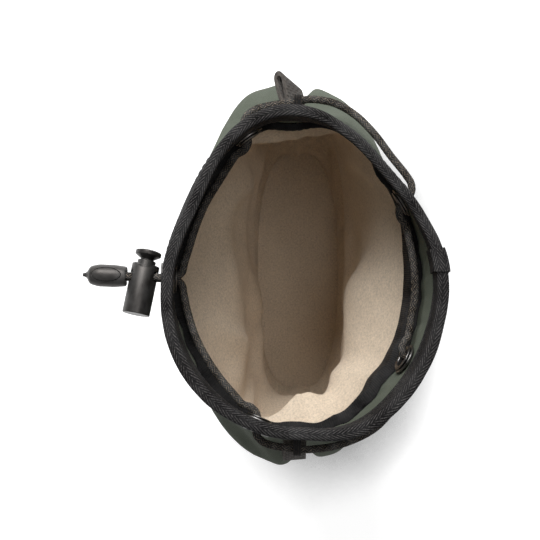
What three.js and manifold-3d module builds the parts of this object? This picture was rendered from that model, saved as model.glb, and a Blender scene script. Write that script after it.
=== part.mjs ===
// Padded drawstring pouch, standing upright with its mouth pulled open.
// Millimetres, +Z up. X runs from side seam to side seam and Y from the front, where the cord
// lock hangs, to the back. The origin is the middle of the base's underside.

import * as THREE from 'three';
import { mergeVertices } from 'three/addons/utils/BufferGeometryUtils.js';
import Module from 'manifold-3d';

// Outer outline: width across the side seams, depth from front to back, and the middle's shift
const pouchHeight = 165;
const mouthWidth = 126;
const mouthDepth = 107;
const neckDrop = 32;
const neckWidth = 129;
const neckDepth = 100;
const neckShiftX = 3;
const neckShiftY = -4;
const shoulderDrop = 65;
const shoulderWidth = 159;
const shoulderDepth = 68;
const shoulderShiftX = 2;
const waistHeight = 62;
const waistWidth = 158;
const waistDepth = 58;
const hipHeight = 30;
const hipWidth = 150;
const hipDepth = 56;
const baseWidth = 130;
const baseDepth = 53;
const baseRise = 6;

// Where the side seams lie round the outline, and how far they draw the wall in
const seamDegrees = 0;
const seamSpreadDegrees = 9;
const mouthSeamDip = 0.4;
const neckSeamDip = 1.4;
const shoulderSeamDip = 5.5;
const waistSeamDip = 4.5;
const baseSeamDip = 1.5;

// How full the outline is: 2 is an ellipse, more is fuller in the corners
const topPowerShare = 2;
const bodyPowerShare = 2.5;

// The pulled-open pouch isn't a true oval: its reach every 22.5 degrees from +X towards +Y
const mouthShares = [
  0.99, 1.03, 1.02, 1.01, 1.0, 0.88, 0.815, 0.86, 0.955, 0.975, 0.94, 0.92, 0.975, 1.035, 1.035, 1.0,
];
const neckShares = [
  0.99, 1.0, 0.99, 1.01, 1.01, 1.01, 0.99, 1.03, 1.01, 1.0, 0.96, 0.955, 0.985, 0.965, 0.97, 0.99,
];
const shoulderShares = [
  0.98, 0.96, 0.95, 0.98, 1.0, 0.98, 0.95, 0.965, 0.99, 1.035, 1.09, 1.06, 1.0, 1.08, 1.085, 1.03,
];
const plainShares = mouthShares.map(() => 1);

// Soft folds in the padded wall: where each one's middle is, in degrees and height, how far it
// stands out or sinks in, and how far it spreads round and up the wall
const softFolds = [
  [27, 108, 1.5, 8, 22],
  [47, 106, -1.5, 8, 22],
  [130, 104, -1.5, 8, 20],
  [150, 108, 1.5, 9, 22],
  [215, 106, 1.7, 9, 22],
  [238, 104, -1.6, 8, 22],
  [262, 108, 1.6, 9, 22],
  [286, 104, -1.5, 8, 22],
  [311, 106, 1.7, 9, 22],
  [334, 106, -1.3, 8, 20],
  [248, 33, 1.8, 24, 16],
  [302, 30, 1.8, 24, 15],
  [272, 60, -1.4, 26, 12],
  [70, 31, 1.6, 26, 16],
  [120, 34, 1.8, 22, 16],
  [95, 58, -1.2, 26, 12],
];

// Layers of the wall, from outside to inside
const layerGap = 0.3;
const fabric = 1;
const foam = 3;
const fleece = 1.5;
const facingDepth = 31;

// Tapes at the mouth
const bindingThickness = 0.9;
const bindingWidth = 9;
const bindingBevel = 0.6;
const lapDegrees = 90;
const lapEdgeDegrees = 0.5;
const liningTapeThickness = 0.9;
const liningTapeDrop = 7.3;
const liningDrop = 28.5;

// Eyelets: a flanged barrel through the wall, rolled over a washer on the inside
const eyeletDrop = 19;
const eyeletBore = 7;
const eyeletFlange = 12;
const eyeletWall = 0.5;
const eyeletFlangeHeight = 1;
const washerThickness = 0.8;
const rollHeight = 0.6;
const rollReach = 1.6;
const curveAllowance = 0.5;
const eyeletDegrees = {
  front_centre: 271,
  front_left: 204,
  back_left: 120,
  back_right: 57.5,
  front_right: 341.5,
};

// Drawcord, and the tails that leave the front eyelet one above the other
const cordDiameter = 3;
const tailGap = 0.15;
const tailSwingDegrees = 1.2;

// Cord lock: a barrel across the tails, with a sprung plunger
const lockDistance = 8;
const lockObliqueDegrees = 8.5;
const lockRollDegrees = 9;
const barrelDiameter = 10.6;
const barrelLength = 19.4;
const barrelWall = 0.8;
const barrelFloor = 1.4;
const barrelRound = 1.2;
const cordDepthInBarrel = 4.8;
const plungerTravel = 2;
const plungerClearance = 0.3;
const plungerFoot = 2;
const plungerShoulder = 2;
const plungerShoulderDiameter = 7;
const plungerNeckDiameter = 5;
const buttonDiameter = 10;
const buttonCone = 1.5;
const buttonEdge = 1.5;
const buttonDome = 0.7;
const buttonDomeReachShare = 0.6;
const buttonDomeRiseShare = 0.8;
const barrelNotchWidth = 6.2;
const barrelNotchDepth = 1.6;
const springWire = 0.8;
const springDiameter = 6.4;
const springTurnCount = 5;

// Cord end: a moulded pill with a lid over the knotted cord ends
const cordEndGap = 1.1;
const cordEndLength = 15.4;
const cordEndDiameter = 8.6;
const cordEndMouth = 7.6;
const cordEndNub = 1.5;
const cordEndNubDiameter = 1.8;
const cordEndHold = 9;
const cordEndLidLength = 11;
const cordEndLidWidth = 5;
const cordEndSwellShare = 0.3;
const cordEndTaperShare = 0.7;
const cordEndTailShare = 0.9;
const cordEndTailGirthShare = 0.8;

// Webbing: the belt loop on the back and a loop in each side seam
const beltLoopWidth = 38;
const beltLoopTopDrop = 18;
const beltLoopBottom = 54;
const beltLoopSewn = 9;
const beltLoopStand = 9;
const beltLoopFullnessShare = 0.6;
const webbingThickness = 1.4;
const sideLoopWidth = 9;
const sideLoopReach = 13;
const sideLoopGap = 2.4;
const sideLoopDrop = 27;
const sideLoopStand = 0.7;
const leftLoopSwingDegrees = 12;
const leftLoopRollDegrees = 35;
const rightLoopDroopDegrees = 60;

// Keepers: small loops in the seams that the outer cord runs through
const keeperWidth = 3;
const keeperThickness = 0.8;
const keeperStand = 5.2;
const keeperSeat = 0.6;

// One overrun carries every cutter past the face that it opens
const overrun = 1;

// Fineness of the faceted surfaces
const turnStepDegrees = 10;
const lowLevelCount = 8;
const roundSegments = 16;
const cordSides = 8;
const springSides = 5;
const springTurnSteps = 8;
const baseCornerSteps = 3;
const baseFoamSteps = 2;
const strapSegments = 5;
const keeperSegments = 6;
const beltLoopRowCount = 15;
const beltLoopColumnCount = 7;
const beltLoopSearchCount = 30;

// Places that follow from the sizes above
const leftSeamDegrees = 180 - seamDegrees;
const bandThickness = fabric + layerGap + fabric;
const facingOuter = fabric + layerGap;
const facingInner = facingOuter + fabric;
const paddingOuter = fabric + layerGap;
const paddingInner = paddingOuter + foam;
const liningOuter = paddingInner + layerGap;
const liningInner = liningOuter + fleece;
const tapeOuter = liningInner + layerGap;
const tapeInner = tapeOuter + liningTapeThickness;
const facingBottom = pouchHeight - facingDepth;
const paddingTop = facingBottom - layerGap;
const liningTop = pouchHeight - liningDrop;
const tapeSeat = liningTop + layerGap;
const tapeTop = tapeSeat + liningTapeThickness;
const tapeHem = tapeTop - liningTapeDrop;
const bindingHem = pouchHeight - bindingWidth;
const baseFoamTop = paddingOuter + foam;
const liningBottom = baseFoamTop + layerGap;
const eyeletHeight = pouchHeight - eyeletDrop;
const cordRadius = cordDiameter / 2;
const tailOffset = (cordDiameter + tailGap) / 2;

// One level of the outline; what it leaves out is centred, full in the body and a plain oval
const section = (height, width, depth, dip, more = {}) => ({
  height,
  width,
  depth,
  dip,
  shiftX: 0,
  shiftY: 0,
  power: bodyPowerShare,
  shares: plainShares,
  ...more,
});

const sections = [
  section(baseRise, baseWidth, baseDepth, baseSeamDip),
  section(hipHeight, hipWidth, hipDepth, waistSeamDip),
  section(waistHeight, waistWidth, waistDepth, waistSeamDip),
  section(pouchHeight - shoulderDrop, shoulderWidth, shoulderDepth, shoulderSeamDip, {
    shiftX: shoulderShiftX,
    shares: shoulderShares,
  }),
  section(pouchHeight - neckDrop, neckWidth, neckDepth, neckSeamDip, {
    shiftX: neckShiftX,
    shiftY: neckShiftY,
    power: topPowerShare,
    shares: neckShares,
  }),
  section(pouchHeight, mouthWidth, mouthDepth, mouthSeamDip, {
    power: topPowerShare,
    shares: mouthShares,
  }),
];

// A smooth run through the value that each section gives, as a cubic between neighbours
function blend(height, read) {
  const last = sections.length - 1;
  let low = 0;
  while (low < last - 1 && height > sections[low + 1].height) {
    low += 1;
  }
  const slope = (i) => {
    const before = sections[Math.max(i - 1, 0)];
    const after = sections[Math.min(i + 1, last)];
    return (read(after) - read(before)) / (after.height - before.height);
  };
  const from = sections[low];
  const to = sections[low + 1];
  const span = to.height - from.height;
  const s = Math.min(Math.max((height - from.height) / span, 0), 1);
  const rise = s * s * (3 - 2 * s);
  return (
    read(from) * (1 - rise) +
    read(to) * rise +
    slope(low) * span * s * (1 - s) * (1 - s) -
    slope(low + 1) * span * s * s * (1 - s)
  );
}

// A closed cubic through a table of shares round the outline
function shareAt(shares, degrees) {
  const place = (((degrees % 360) + 360) % 360) / (360 / shares.length);
  const i = Math.floor(place);
  const s = place - i;
  const at = (k) => shares[(i + k + shares.length) % shares.length];
  const a = at(-1);
  const b = at(0);
  const c = at(1);
  const d = at(2);
  return (
    b +
    0.5 * s * (c - a + s * (2 * a - 5 * b + 4 * c - d + s * (3 * (b - c) + d - a)))
  );
}

// 1 at no turn, falling away on both sides
function bell(degrees, spread) {
  const off = ((((degrees + 180) % 360) + 360) % 360) - 180;
  return Math.exp(-((off / spread) ** 2));
}

// How far the soft folds move the wall outwards at a place
function foldRise(degrees, height) {
  return softFolds.reduce((sum, [turn, level, rise, spread, reach]) => {
    const share = bell(degrees - turn, spread) * Math.exp(-(((height - level) / reach) ** 2));
    return sum + rise * share;
  }, 0);
}

// The outline at a height: a point of the wall, some way in from its outer face
function outlinePoint(degrees, height, inset) {
  const angle = THREE.MathUtils.degToRad(degrees);
  const cos = Math.cos(angle);
  const sin = Math.sin(angle);
  const power = blend(height, (s) => s.power);
  const fullness = (Math.abs(cos) ** power + Math.abs(sin) ** power) ** (-1 / power);
  const reach = fullness * blend(height, (s) => shareAt(s.shares, degrees));
  const shift = foldRise(degrees, height) - inset;
  const halfWidth = blend(height, (s) => s.width) / 2 + shift;
  const halfDepth = blend(height, (s) => s.depth) / 2 + shift;
  const seam = (turn) => bell(degrees - turn, seamSpreadDegrees);
  const drawnIn = blend(height, (s) => s.dip) * (seam(seamDegrees) - seam(leftSeamDegrees));
  return new THREE.Vector3(
    blend(height, (s) => s.shiftX) + halfWidth * reach * cos - drawnIn,
    blend(height, (s) => s.shiftY) + halfDepth * reach * sin,
    height,
  );
}

// Heights of the rows of facets: even up to the lining tape, then at the tapes' edges
const levels = [
  ...Array.from(
    { length: lowLevelCount },
    (_, i) => baseRise + ((tapeHem - baseRise) * i) / (lowLevelCount - 1),
  ),
  facingBottom,
  tapeTop,
  (tapeTop + bindingHem) / 2,
  bindingHem,
  pouchHeight,
];

// The faceted wall that every layer shares, so that layers stay clear of each other
function wallPoint(degrees, height, inset) {
  const column = (degrees - seamDegrees) / turnStepDegrees;
  const left = Math.floor(column) * turnStepDegrees + seamDegrees;
  const across = column - Math.floor(column);
  let below = 0;
  while (below < levels.length - 2 && height > levels[below + 1]) {
    below += 1;
  }
  const up = Math.max((height - levels[below]) / (levels[below + 1] - levels[below]), 0);
  const corner = (c, r) => outlinePoint(left + c * turnStepDegrees, levels[below + r], inset);
  const low = corner(0, 0).lerp(corner(1, 0), across);
  const high = corner(0, 1).lerp(corner(1, 1), across);
  const point = low.lerp(high, up);
  point.z = height;
  return point;
}

// Axes at a place on the wall: outward, along the wall towards +turn, and up it
function wallAxes(degrees, height) {
  const along = outlinePoint(degrees + turnStepDegrees / 2, height, 0);
  along.sub(outlinePoint(degrees - turnStepDegrees / 2, height, 0)).normalize();
  const up = outlinePoint(degrees, height + eyeletFlange / 2, 0);
  up.sub(outlinePoint(degrees, height - eyeletFlange / 2, 0)).normalize();
  const outward = new THREE.Vector3().crossVectors(along, up).normalize();
  return { outward, along, up: new THREE.Vector3().crossVectors(outward, along) };
}

// A closed body from its points and faces, turned so that the faces point out
function closedBody(points, faces) {
  let volume = 0;
  for (const [a, b, c] of faces) {
    volume += points[a].dot(new THREE.Vector3().crossVectors(points[b], points[c]));
  }
  const index = volume > 0 ? faces.flat() : faces.flatMap(([a, b, c]) => [a, c, b]);
  const geometry = new THREE.BufferGeometry().setFromPoints(points);
  geometry.setIndex(index);
  geometry.computeVertexNormals();
  return geometry;
}

function quad(a, b, c, d) {
  return [
    [a, b, c],
    [a, c, d],
  ];
}

// A sheet with thickness: an outer and an inner grid of rows, joined round their edges
function sheetBody(outer, inner) {
  const rows = outer.length;
  const columns = outer[0].length;
  const points = [...outer.flat(), ...inner.flat()];
  const at = (face, r, c) => face * rows * columns + r * columns + c;
  const faces = [];
  for (let r = 0; r < rows - 1; r += 1) {
    for (let c = 0; c < columns - 1; c += 1) {
      faces.push(...quad(at(0, r, c), at(0, r, c + 1), at(0, r + 1, c + 1), at(0, r + 1, c)));
      faces.push(...quad(at(1, r, c), at(1, r + 1, c), at(1, r + 1, c + 1), at(1, r, c + 1)));
    }
    faces.push(...quad(at(0, r, 0), at(0, r + 1, 0), at(1, r + 1, 0), at(1, r, 0)));
    const end = columns - 1;
    faces.push(...quad(at(0, r, end), at(1, r, end), at(1, r + 1, end), at(0, r + 1, end)));
  }
  for (let c = 0; c < columns - 1; c += 1) {
    faces.push(...quad(at(0, 0, c), at(1, 0, c), at(1, 0, c + 1), at(0, 0, c + 1)));
    const top = rows - 1;
    faces.push(...quad(at(0, top, c), at(0, top, c + 1), at(1, top, c + 1), at(1, top, c)));
  }
  return closedBody(points, faces);
}

// A band that closes on itself: one closed profile for each step round it. Each facet is split
// upwards along the band, as a sheet's are, so that twisted facets of two layers lie alike.
function bandBody(profiles) {
  const steps = profiles.length;
  const size = profiles[0].length;
  const at = (i, j) => (i % steps) * size + (j % size);
  const faces = [];
  for (let i = 0; i < steps; i += 1) {
    for (let j = 0; j < size; j += 1) {
      const corners = [at(i, j), at(i, j + 1), at(i + 1, j + 1), at(i + 1, j)];
      if (profiles[0][(j + 1) % size].z < profiles[0][j].z) {
        corners.push(corners.shift());
      }
      faces.push(...quad(...corners));
    }
  }
  return closedBody(profiles.flat(), faces);
}

// A stack of closed rings, with the first and the last filled in
function stackBody(rings) {
  const size = rings[0].length;
  const points = rings.flat();
  const at = (i, j) => i * size + (j % size);
  const faces = [];
  for (let i = 0; i < rings.length - 1; i += 1) {
    for (let j = 0; j < size; j += 1) {
      faces.push(...quad(at(i, j), at(i, j + 1), at(i + 1, j + 1), at(i + 1, j)));
    }
  }
  const last = rings.length - 1;
  for (const [ring, flip] of [
    [0, true],
    [last, false],
  ]) {
    const middle = new THREE.Vector3();
    rings[ring].forEach((p) => middle.add(p));
    points.push(middle.divideScalar(size));
    const hub = points.length - 1;
    for (let j = 0; j < size; j += 1) {
      const face = [hub, at(ring, j), at(ring, j + 1)];
      faces.push(flip ? face.reverse() : face);
    }
  }
  return closedBody(points, faces);
}

// Joins and cuts
const wasm = await Module();
wasm.setup();

function toSolid(geometry) {
  const bare = geometry.clone();
  bare.deleteAttribute('normal');
  bare.deleteAttribute('uv');
  const merged = mergeVertices(bare);
  return new wasm.Manifold(
    new wasm.Mesh({
      numProp: 3,
      vertProperties: new Float32Array(merged.attributes.position.array),
      triVerts: new Uint32Array(merged.index.array),
    }),
  );
}

function toGeometry(solid) {
  const mesh = solid.getMesh();
  const geometry = new THREE.BufferGeometry();
  geometry.setAttribute('position', new THREE.BufferAttribute(mesh.vertProperties, 3));
  geometry.setIndex(new THREE.BufferAttribute(mesh.triVerts, 1));
  geometry.computeVertexNormals();
  return geometry;
}

function cut(geometry, cutters) {
  let solid = toSolid(geometry);
  for (const cutter of cutters) {
    solid = solid.subtract(toSolid(cutter));
  }
  return toGeometry(solid);
}

// Materials
function finish(color, roughness, metalness = 0) {
  return new THREE.MeshStandardMaterial({ color, roughness, metalness });
}

const greenShell = finish('#5d7163', 0.9);
const greyFoam = finish('#3a3a3c', 0.95);
const beigeFleece = finish('#d9c3a8', 0.98);
const blackTape = finish('#1f1e1e', 0.8);
const greyWebbing = finish('#58514b', 0.85);
const gunmetal = finish('#3c3b3d', 0.35, 0.9);
const blackCord = finish('#17171a', 0.75);
const lockPlastic = finish('#2c2a28', 0.5);
const endPlastic = finish('#4a4845', 0.55);
const springSteel = finish('#a9abad', 0.3, 1);

const pouch = new THREE.Group();

function add(name, geometry, material, place = pouch) {
  const mesh = new THREE.Mesh(geometry, material);
  mesh.name = name;
  place.add(mesh);
  return mesh;
}

// Walls: each layer is a front and a back panel that meet at the side seams
const backTurns = [];
for (let d = seamDegrees; d <= leftSeamDegrees; d += turnStepDegrees) {
  backTurns.push(d);
}
const frontTurns = [];
for (let d = leftSeamDegrees; d <= 360 + seamDegrees; d += turnStepDegrees) {
  frontTurns.push(d);
}
const allTurns = [...backTurns.slice(0, -1), ...frontTurns.slice(0, -1)];

function heightsBetween(bottom, top) {
  const inside = levels.filter((z) => z > bottom + layerGap && z < top - layerGap);
  return [bottom, ...inside, top];
}

// One row of a panel, its ends held back from the seam by half the layer gap
function panelRow(turns, height, inset) {
  const row = turns.map((d) => wallPoint(d, height, inset));
  const hold = (end, next) => {
    const length = end.distanceTo(next);
    return end.clone().lerp(next, layerGap / 2 / length);
  };
  const last = row.length - 1;
  const start = hold(row[0], row[1]);
  const finishPoint = hold(row[last], row[last - 1]);
  return [start, ...row.slice(1, last), finishPoint];
}

function panel(turns, bottom, top, outerInset, innerInset) {
  const heights = heightsBetween(bottom, top);
  return sheetBody(
    heights.map((z) => panelRow(turns, z, outerInset)),
    heights.map((z) => panelRow(turns, z, innerInset)),
  );
}

// Eyelet frames, and the holes that the barrels pass through
const eyelets = Object.entries(eyeletDegrees).map(([name, degrees]) => ({
  name,
  degrees,
  front: degrees > 180,
  place: wallPoint(degrees, eyeletHeight, 0),
  ...wallAxes(degrees, eyeletHeight),
}));

const barrelRadius = eyeletBore / 2 + eyeletWall;
const washerTop = -(bandThickness + layerGap + curveAllowance);
const washerBottom = washerTop - washerThickness;
const rollTop = washerBottom - layerGap;
const rollBottom = rollTop - rollHeight;

function seatOnWall(object, eyelet) {
  object.position.copy(eyelet.place);
  object.quaternion.setFromUnitVectors(new THREE.Vector3(0, 1, 0), eyelet.outward);
  return object;
}

function eyeletHole(eyelet) {
  const radius = barrelRadius + layerGap;
  const depth = bandThickness + overrun + overrun;
  const hole = new THREE.Mesh(new THREE.CylinderGeometry(radius, radius, depth, roundSegments));
  hole.geometry.translate(0, overrun - depth / 2, 0);
  seatOnWall(hole, eyelet).updateMatrix();
  return hole.geometry.applyMatrix4(hole.matrix);
}

function bandPanel(turns, bottom, outerInset, innerInset, front) {
  const holes = eyelets.filter((e) => e.front === front).map(eyeletHole);
  return cut(panel(turns, bottom, pouchHeight, outerInset, innerInset), holes);
}

const shellBottom = baseRise + layerGap;
add('front_shell', bandPanel(frontTurns, shellBottom, 0, fabric, true), greenShell);
add('back_shell', bandPanel(backTurns, shellBottom, 0, fabric, false), greenShell);
add('front_facing', bandPanel(frontTurns, facingBottom, facingOuter, facingInner, true), greenShell);
add('back_facing', bandPanel(backTurns, facingBottom, facingOuter, facingInner, false), greenShell);
add('front_padding', panel(frontTurns, baseRise, paddingTop, paddingOuter, paddingInner), greyFoam);
add('back_padding', panel(backTurns, baseRise, paddingTop, paddingOuter, paddingInner), greyFoam);
add('front_lining', panel(frontTurns, liningBottom, liningTop, liningOuter, liningInner), beigeFleece);
add('back_lining', panel(backTurns, liningBottom, liningTop, liningOuter, liningInner), beigeFleece);

// Base: a dished shell with a foam plate and a fleece floor in it
function baseRing(height, inset) {
  return allTurns.map((d) => {
    const point = outlinePoint(d, baseRise, inset);
    point.z = height;
    return point;
  });
}

// Rings up the rounded corner of the base, a given way in from its outer face
function cornerRings(inset, top, steps) {
  const radius = baseRise - inset;
  const rise = Math.min((top - inset) / radius, 1);
  const end = Math.acos(1 - rise);
  return Array.from({ length: steps + 1 }, (_, i) => {
    const angle = (end * i) / steps;
    return baseRing(inset + radius * (1 - Math.cos(angle)), inset + radius * (1 - Math.sin(angle)));
  });
}

const dishRings = [
  ...cornerRings(0, baseRise, baseCornerSteps),
  ...cornerRings(fabric, baseRise, baseCornerSteps).reverse(),
];
add('base_shell', stackBody(dishRings), greenShell);
add('base_padding', stackBody(cornerRings(paddingOuter, baseFoamTop, baseFoamSteps)), greyFoam);
const floorInset = liningInner + layerGap;
add(
  'base_lining',
  stackBody([baseRing(liningBottom, floorInset), baseRing(liningBottom + fleece, floorInset)]),
  beigeFleece,
);

// Rim binding: a tape folded over the top edge, its end lapped over its start at the back
const lapTurn = Math.round((lapDegrees - seamDegrees) / turnStepDegrees);
const bindingTurns = allTurns.flatMap((d, i) =>
  i === lapTurn
    ? [
        [d, false],
        [d + lapEdgeDegrees, true],
        [d + turnStepDegrees - lapEdgeDegrees, true],
      ]
    : [[d, false]],
);

function bindingProfile([degrees, lapped]) {
  const tape = lapped ? 2 * bindingThickness : bindingThickness;
  const out = -layerGap - tape;
  const inn = facingInner + layerGap + tape;
  const roof = pouchHeight + layerGap;
  const top = roof + tape;
  return [
    [out, bindingHem],
    [out, top - bindingBevel],
    [out + bindingBevel, top],
    [inn - bindingBevel, top],
    [inn, top - bindingBevel],
    [inn, bindingHem],
    [facingInner + layerGap, bindingHem],
    [facingInner + layerGap, roof],
    [-layerGap, roof],
    [-layerGap, bindingHem],
  ].map(([inset, height]) => wallPoint(degrees, height, inset));
}

add('rim_binding', bandBody(bindingTurns.map(bindingProfile)), blackTape);

// Lining tape: covers the fleece's top edge and reaches across to the facing
function liningTapeProfile(degrees) {
  const start = facingInner + layerGap;
  return [
    [start, tapeTop],
    [tapeInner, tapeTop],
    [tapeInner, tapeHem],
    [tapeOuter, tapeHem],
    [tapeOuter, tapeSeat],
    [start, tapeSeat],
  ].map(([inset, height]) => wallPoint(degrees, height, inset));
}

add('lining_tape', bandBody(allTurns.map(liningTapeProfile)), blackTape);

// Eyelets and their washers
function lathe(profile) {
  const points = profile.map(([r, y]) => new THREE.Vector2(r, y));
  if (THREE.ShapeUtils.area(points) < 0) {
    points.reverse();
  }
  if (points[0].x > 0) {
    points.push(points[0]);
  }
  return new THREE.LatheGeometry(points, roundSegments);
}

// An oval cutter that stands on the XY plane
function ovalPrism(length, width, bottom, top) {
  const prism = new THREE.CylinderGeometry(1, 1, 1, roundSegments);
  prism.rotateX(Math.PI / 2);
  prism.scale(width / 2, length / 2, top - bottom);
  return prism.translate(0, 0, (top + bottom) / 2);
}

function eyeletGeometry() {
  const bore = eyeletBore / 2;
  const flange = eyeletFlange / 2;
  const face = layerGap + eyeletFlangeHeight;
  const bevel = eyeletFlangeHeight / 2;
  return lathe([
    [bore, rollBottom + eyeletWall],
    [bore, face - bevel],
    [bore + eyeletWall, face],
    [flange - bevel, face],
    [flange, face - bevel],
    [flange, layerGap],
    [barrelRadius, layerGap],
    [barrelRadius, rollTop],
    [bore + rollReach, rollTop],
    [bore + rollReach - eyeletWall, rollBottom],
    [bore + eyeletWall, rollBottom],
  ]);
}

function washerGeometry() {
  const inner = barrelRadius + layerGap;
  const outer = eyeletFlange / 2;
  return lathe([
    [inner, washerBottom],
    [inner, washerTop],
    [outer, washerTop],
    [outer, washerBottom],
  ]);
}

for (const eyelet of eyelets) {
  seatOnWall(add(`eyelet_${eyelet.name}`, eyeletGeometry(), gunmetal), eyelet);
  seatOnWall(add(`eyelet_washer_${eyelet.name}`, washerGeometry(), gunmetal), eyelet);
}

// Drawcord route. On the wall: degrees round the outline, height above the eyelets and
// distance in from the outer face. At an eyelet: distance along, outward and up.
const byName = Object.fromEntries(eyelets.map((e) => [e.name, e]));
const onWall = (degrees, rise, inset) => wallPoint(degrees, eyeletHeight + rise, inset);

function atEyelet(name, along, outward, up) {
  const eyelet = byName[name];
  return eyelet.place
    .clone()
    .addScaledVector(eyelet.along, along)
    .addScaledVector(eyelet.outward, outward)
    .addScaledVector(eyelet.up, up);
}

// The cord comes along the inside of the wall, turns through the bore and runs on outside
const outThroughEyelet = [
  [-8, -6.8],
  [-4.2, -6.9],
  [-1.3, -5.2],
  [0, -1.7],
  [1.3, 1.8],
  [4.2, 3.5],
  [8, 3.6],
];
const cross = (name, towards) =>
  outThroughEyelet.map(([along, outward]) => atEyelet(name, along * towards, outward, 0));

// The tails run straight out from the front eyelet
const front = byName.front_centre;
const frontHeading = Math.atan2(front.outward.y, front.outward.x);
const tailHeading = frontHeading - THREE.MathUtils.degToRad(tailSwingDegrees);
const pull = new THREE.Vector3(Math.cos(tailHeading), Math.sin(tailHeading), 0);
const roll = new THREE.Quaternion().setFromAxisAngle(pull, THREE.MathUtils.degToRad(lockRollDegrees));
const tailSide = new THREE.Vector3(0, 0, tailOffset).applyQuaternion(roll);
const tailPoint = (distance, side) =>
  front.place.clone().addScaledVector(pull, distance).addScaledVector(tailSide, side);
const cordEndStart = lockDistance + barrelDiameter / 2 + cordEndGap;
const tailEnd = cordEndStart + cordEndHold - layerGap;

const route = [
  tailPoint(tailEnd, 1),
  tailPoint(lockDistance, 1),
  tailPoint(3, 1),
  tailPoint(-3.2, 1),
  atEyelet('front_centre', -2.2, -6.6, 1.6),
  atEyelet('front_centre', -6, -7.6, 1),
  onWall(259, 0, 7.8),
  onWall(249, 0, 7.4),
  onWall(238, 0, 7.2),
  onWall(226, 0, 7.4),
  onWall(217, 0, 6.8),
  ...cross('front_left', -1),
  onWall(192, 0, -4.4),
  onWall(leftSeamDegrees, 0, -keeperStand),
  onWall(175, 0, -6.4),
  onWall(166, 0, -6.8),
  onWall(157, 0, -6.2),
  onWall(147, 0, -5.2),
  onWall(137, 0, -4.4),
  ...cross('back_left', 1).reverse(),
  onWall(104, 0, 7),
  onWall(93, 0, 7.3),
  onWall(81, 0, 7.2),
  onWall(72, 0, 7),
  ...cross('back_right', -1),
  onWall(44, 0, -4.4),
  onWall(31, 0, -5.2),
  onWall(17, 0, -4.8),
  onWall(6, 0, -5.2),
  onWall(seamDegrees, 0, -keeperStand),
  ...cross('front_right', 1).reverse(),
  onWall(328, 0, 6.8),
  onWall(318, 0, 7.6),
  onWall(307, 0, 7.8),
  onWall(296, 0, 7.5),
  onWall(284, 0, 7.4),
  atEyelet('front_centre', 6, -7.6, -1),
  atEyelet('front_centre', 2.2, -6.6, -1.6),
  tailPoint(-3.2, -1),
  tailPoint(3, -1),
  tailPoint(lockDistance, -1),
  tailPoint(tailEnd, -1),
];

// Steps follow the route's own points, so that they are close together where the cord bends
class RouteCurve extends THREE.CatmullRomCurve3 {
  getPointAt(u, target) {
    return this.getPoint(u, target);
  }

  getTangentAt(u, target) {
    return this.getTangent(u, target);
  }
}

function roundSection(radius, sides) {
  const corners = Array.from({ length: sides }, (_, i) => {
    const angle = (2 * Math.PI * i) / sides;
    return new THREE.Vector2(radius * Math.cos(angle), radius * Math.sin(angle));
  });
  return new THREE.Shape(corners);
}

const cordCurve = new RouteCurve(route, false, 'centripetal');
const cordGeometry = new THREE.ExtrudeGeometry(roundSection(cordRadius, cordSides), {
  steps: route.length - 1,
  curveSegments: 1,
  extrudePath: cordCurve,
});
add('drawcord', cordGeometry, blackCord);

// Cord lock: its own frame, with X towards the pouch, Y along the barrel to the button and Z up
const lock = new THREE.Group();
lock.position.copy(front.place).addScaledVector(pull, lockDistance);
lock.rotation.z = tailHeading + Math.PI - THREE.MathUtils.degToRad(lockObliqueDegrees);
lock.quaternion.premultiply(roll);
pouch.add(lock);

// The tails cross the barrel at a small angle, and the slot is sheared to follow them
const slotShear = Math.tan(THREE.MathUtils.degToRad(lockObliqueDegrees));
const slotLength = (cordDiameter + 2 * layerGap) / Math.cos(THREE.MathUtils.degToRad(lockObliqueDegrees));
const slotHeight = 2 * (tailOffset + cordRadius + layerGap);
const barrelSlotBottom = -cordDepthInBarrel - slotLength / 2;

function slotCutter(from, to) {
  const length = Math.abs(to - from);
  const box = new THREE.BoxGeometry(barrelDiameter + overrun, length, slotHeight);
  box.applyMatrix4(new THREE.Matrix4().makeShear(slotShear, 0, 0, 0, 0, 0));
  return box.translate(0, (from + to) / 2, 0);
}

function barrelGeometry() {
  const outer = barrelDiameter / 2;
  const inner = outer - barrelWall;
  const body = lathe([
    [0, -barrelLength],
    [outer - barrelRound, -barrelLength],
    [outer, barrelRound - barrelLength],
    [outer, -barrelWall / 2],
    [outer - barrelWall / 2, 0],
    [inner, 0],
    [inner, barrelFloor - barrelLength],
    [0, barrelFloor - barrelLength],
  ]);
  const past = outer + overrun;
  return cut(body, [
    slotCutter(barrelSlotBottom, barrelSlotBottom + slotLength),
    ovalPrism(2 * barrelNotchDepth, barrelNotchWidth, -past, past),
  ]);
}

const plungerRadius = barrelDiameter / 2 - barrelWall - plungerClearance;
const plungerSlotTop = barrelSlotBottom + slotLength + plungerTravel;
const plungerBottom = barrelSlotBottom - plungerFoot;

function plungerGeometry() {
  const neck = plungerNeckDiameter / 2;
  const button = buttonDiameter / 2;
  const coneBottom = plungerTravel + layerGap;
  const edgeBottom = coneBottom + buttonCone;
  const edgeTop = edgeBottom + buttonEdge;
  const body = lathe([
    [0, plungerBottom],
    [plungerRadius, plungerBottom],
    [plungerRadius, -layerGap],
    [plungerShoulderDiameter / 2, -layerGap],
    [plungerShoulderDiameter / 2, plungerShoulder - layerGap],
    [neck, plungerShoulder],
    [neck, coneBottom],
    [button, edgeBottom],
    [button, edgeTop],
    [button * buttonDomeReachShare, edgeTop + buttonDome * buttonDomeRiseShare],
    [0, edgeTop + buttonDome],
  ]);
  return cut(body, [slotCutter(barrelSlotBottom, plungerSlotTop)]);
}

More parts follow.
